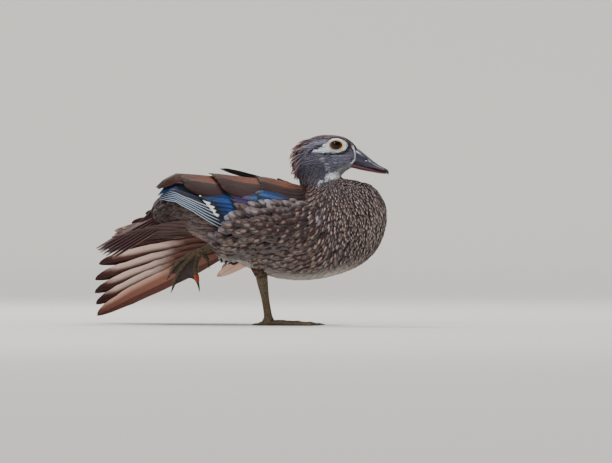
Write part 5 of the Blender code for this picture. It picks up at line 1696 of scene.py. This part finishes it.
def make_floor():
    """A pale floor that curves up into a round backdrop: a disc of rings of the radius, whose
    height is 0 on the flat, then a quarter turn of the bend, then straight up."""
    bend = np.linspace(0.02, math.pi / 2, 16)
    radius = np.concatenate([np.linspace(0.05, FLOOR, 12), FLOOR + BEND * np.sin(bend), [FLOOR + BEND]])
    height = np.concatenate([np.zeros(12), BEND * (1 - np.cos(bend)), [BACKDROP]])
    turn, n = turns(FLOOR_SIDES), FLOOR_SIDES
    rings = np.stack(np.broadcast_arrays(radius[:, None] * np.cos(turn), radius[:, None] * np.sin(turn),
                                         height[:, None]), axis=-1)
    i, j = np.meshgrid(np.arange(len(radius) - 1), np.arange(n), indexing="ij")
    k = (j + 1) % n
    quads = np.stack([i * n + j, (i + 1) * n + j, (i + 1) * n + k, i * n + k], axis=-1).reshape(-1, 4)
    m = np.arange(n // 2 - 1)
    middle = np.stack([m, m + 1, n - 2 - m, n - 1 - m], axis=-1)
    floor = to_mesh("floor", rings.reshape(-1, 3) / MM - MIDLINE, np.vstack([quads, middle]))
    paper = Finish("floor_paper", 0.9, specular=0.1)
    paper.shader.inputs["Base Color"].default_value = (0.70, 0.69, 0.66, 1)
    floor.data.materials.append(paper.made)


def stage_set():
    """The floor, a pale sky, soft lights that face the bird, and the camera on its right side."""
    make_floor()
    world = bpy.data.worlds.new("studio")
    world.use_nodes = True
    world.node_tree.nodes["Background"].inputs["Color"].default_value = SKY
    world.node_tree.nodes["Background"].inputs["Strength"].default_value = SKY_STRENGTH
    bpy.context.scene.world = world
    for name, (kind, place, size, power, tone) in LIGHTS.items():
        lamp = bpy.data.lights.new(name, kind)
        lamp.energy, lamp.color = power, tone
        if kind == "SUN":
            lamp.angle = size
        else:
            lamp.shape, lamp.size = "SQUARE", size
        light = bpy.data.objects.new(name, lamp)
        bpy.context.scene.collection.objects.link(light)
        light.location = place
        light.rotation_euler = (Vector(AIM) - Vector(place)).to_track_quat("-Z", "Y").to_euler()
    data = bpy.data.cameras.new("camera")
    data.lens, data.sensor_width = LENS, 36
    data.clip_start, data.clip_end = 0.1, 60
    camera = bpy.data.objects.new("camera", data)
    bpy.context.scene.collection.objects.link(camera)
    camera.location = CAMERA
    camera.rotation_euler = (math.pi / 2, 0, 0)
    bpy.context.scene.camera = camera


# Fleshy limbs under the coat: path, half widths and half depths
LIMBS = (
    ([SHOULDER, (SHOULDER + ELBOW) / 2, ELBOW, ELBOW + (-3, 3, -2)], [11.5, 8.2, 6.0, 4.5], [11.5, 8.2, 6.0, 4.5]),
    ([ELBOW, (ELBOW + WRIST) / 2, WRIST], [5.6, 5.6, 5.2], [4.6, 4.6, 4.2]),
    ([WRIST, (WRIST + FINGERTIP) / 2, FINGERTIP], [5.2, 4.6, 3.2], [4.2, 3.4, 2.2]),
    ([HOCK + (-4, -10, 28), HOCK + (-4, -10, 20), HOCK + (-3, -6, 10), HOCK + (-1, -1.5, 2)], [10, 9.5, 6.4, 4.0],
     [10, 9.5, 6.4, 4.0]),
    ([LEFT_HOCK + (36, -19, 5), LEFT_HOCK + (26, -14, 4), LEFT_HOCK + (13, -7, 3), LEFT_HOCK + (2, -1, 0.4)],
     [10, 9.5, 6.6, 4.0], [10, 9.5, 6.6, 4.0]),
)

skin_piece, skin_points = make_skin()
paint_skin(skin_piece, skin_points)
skin_tree = make_coat(skin_piece)
make_crest(skin_tree)
left_primaries()
left_secondaries()
left_coverts()
left_lining()
left_alula()
left_tertials()
left_inner_coverts()
right_wing()
back_feathers()
make_tail()
right_foot()
left_foot()
limb_feathers()
make_eyes()
make_bill()
stage_set()
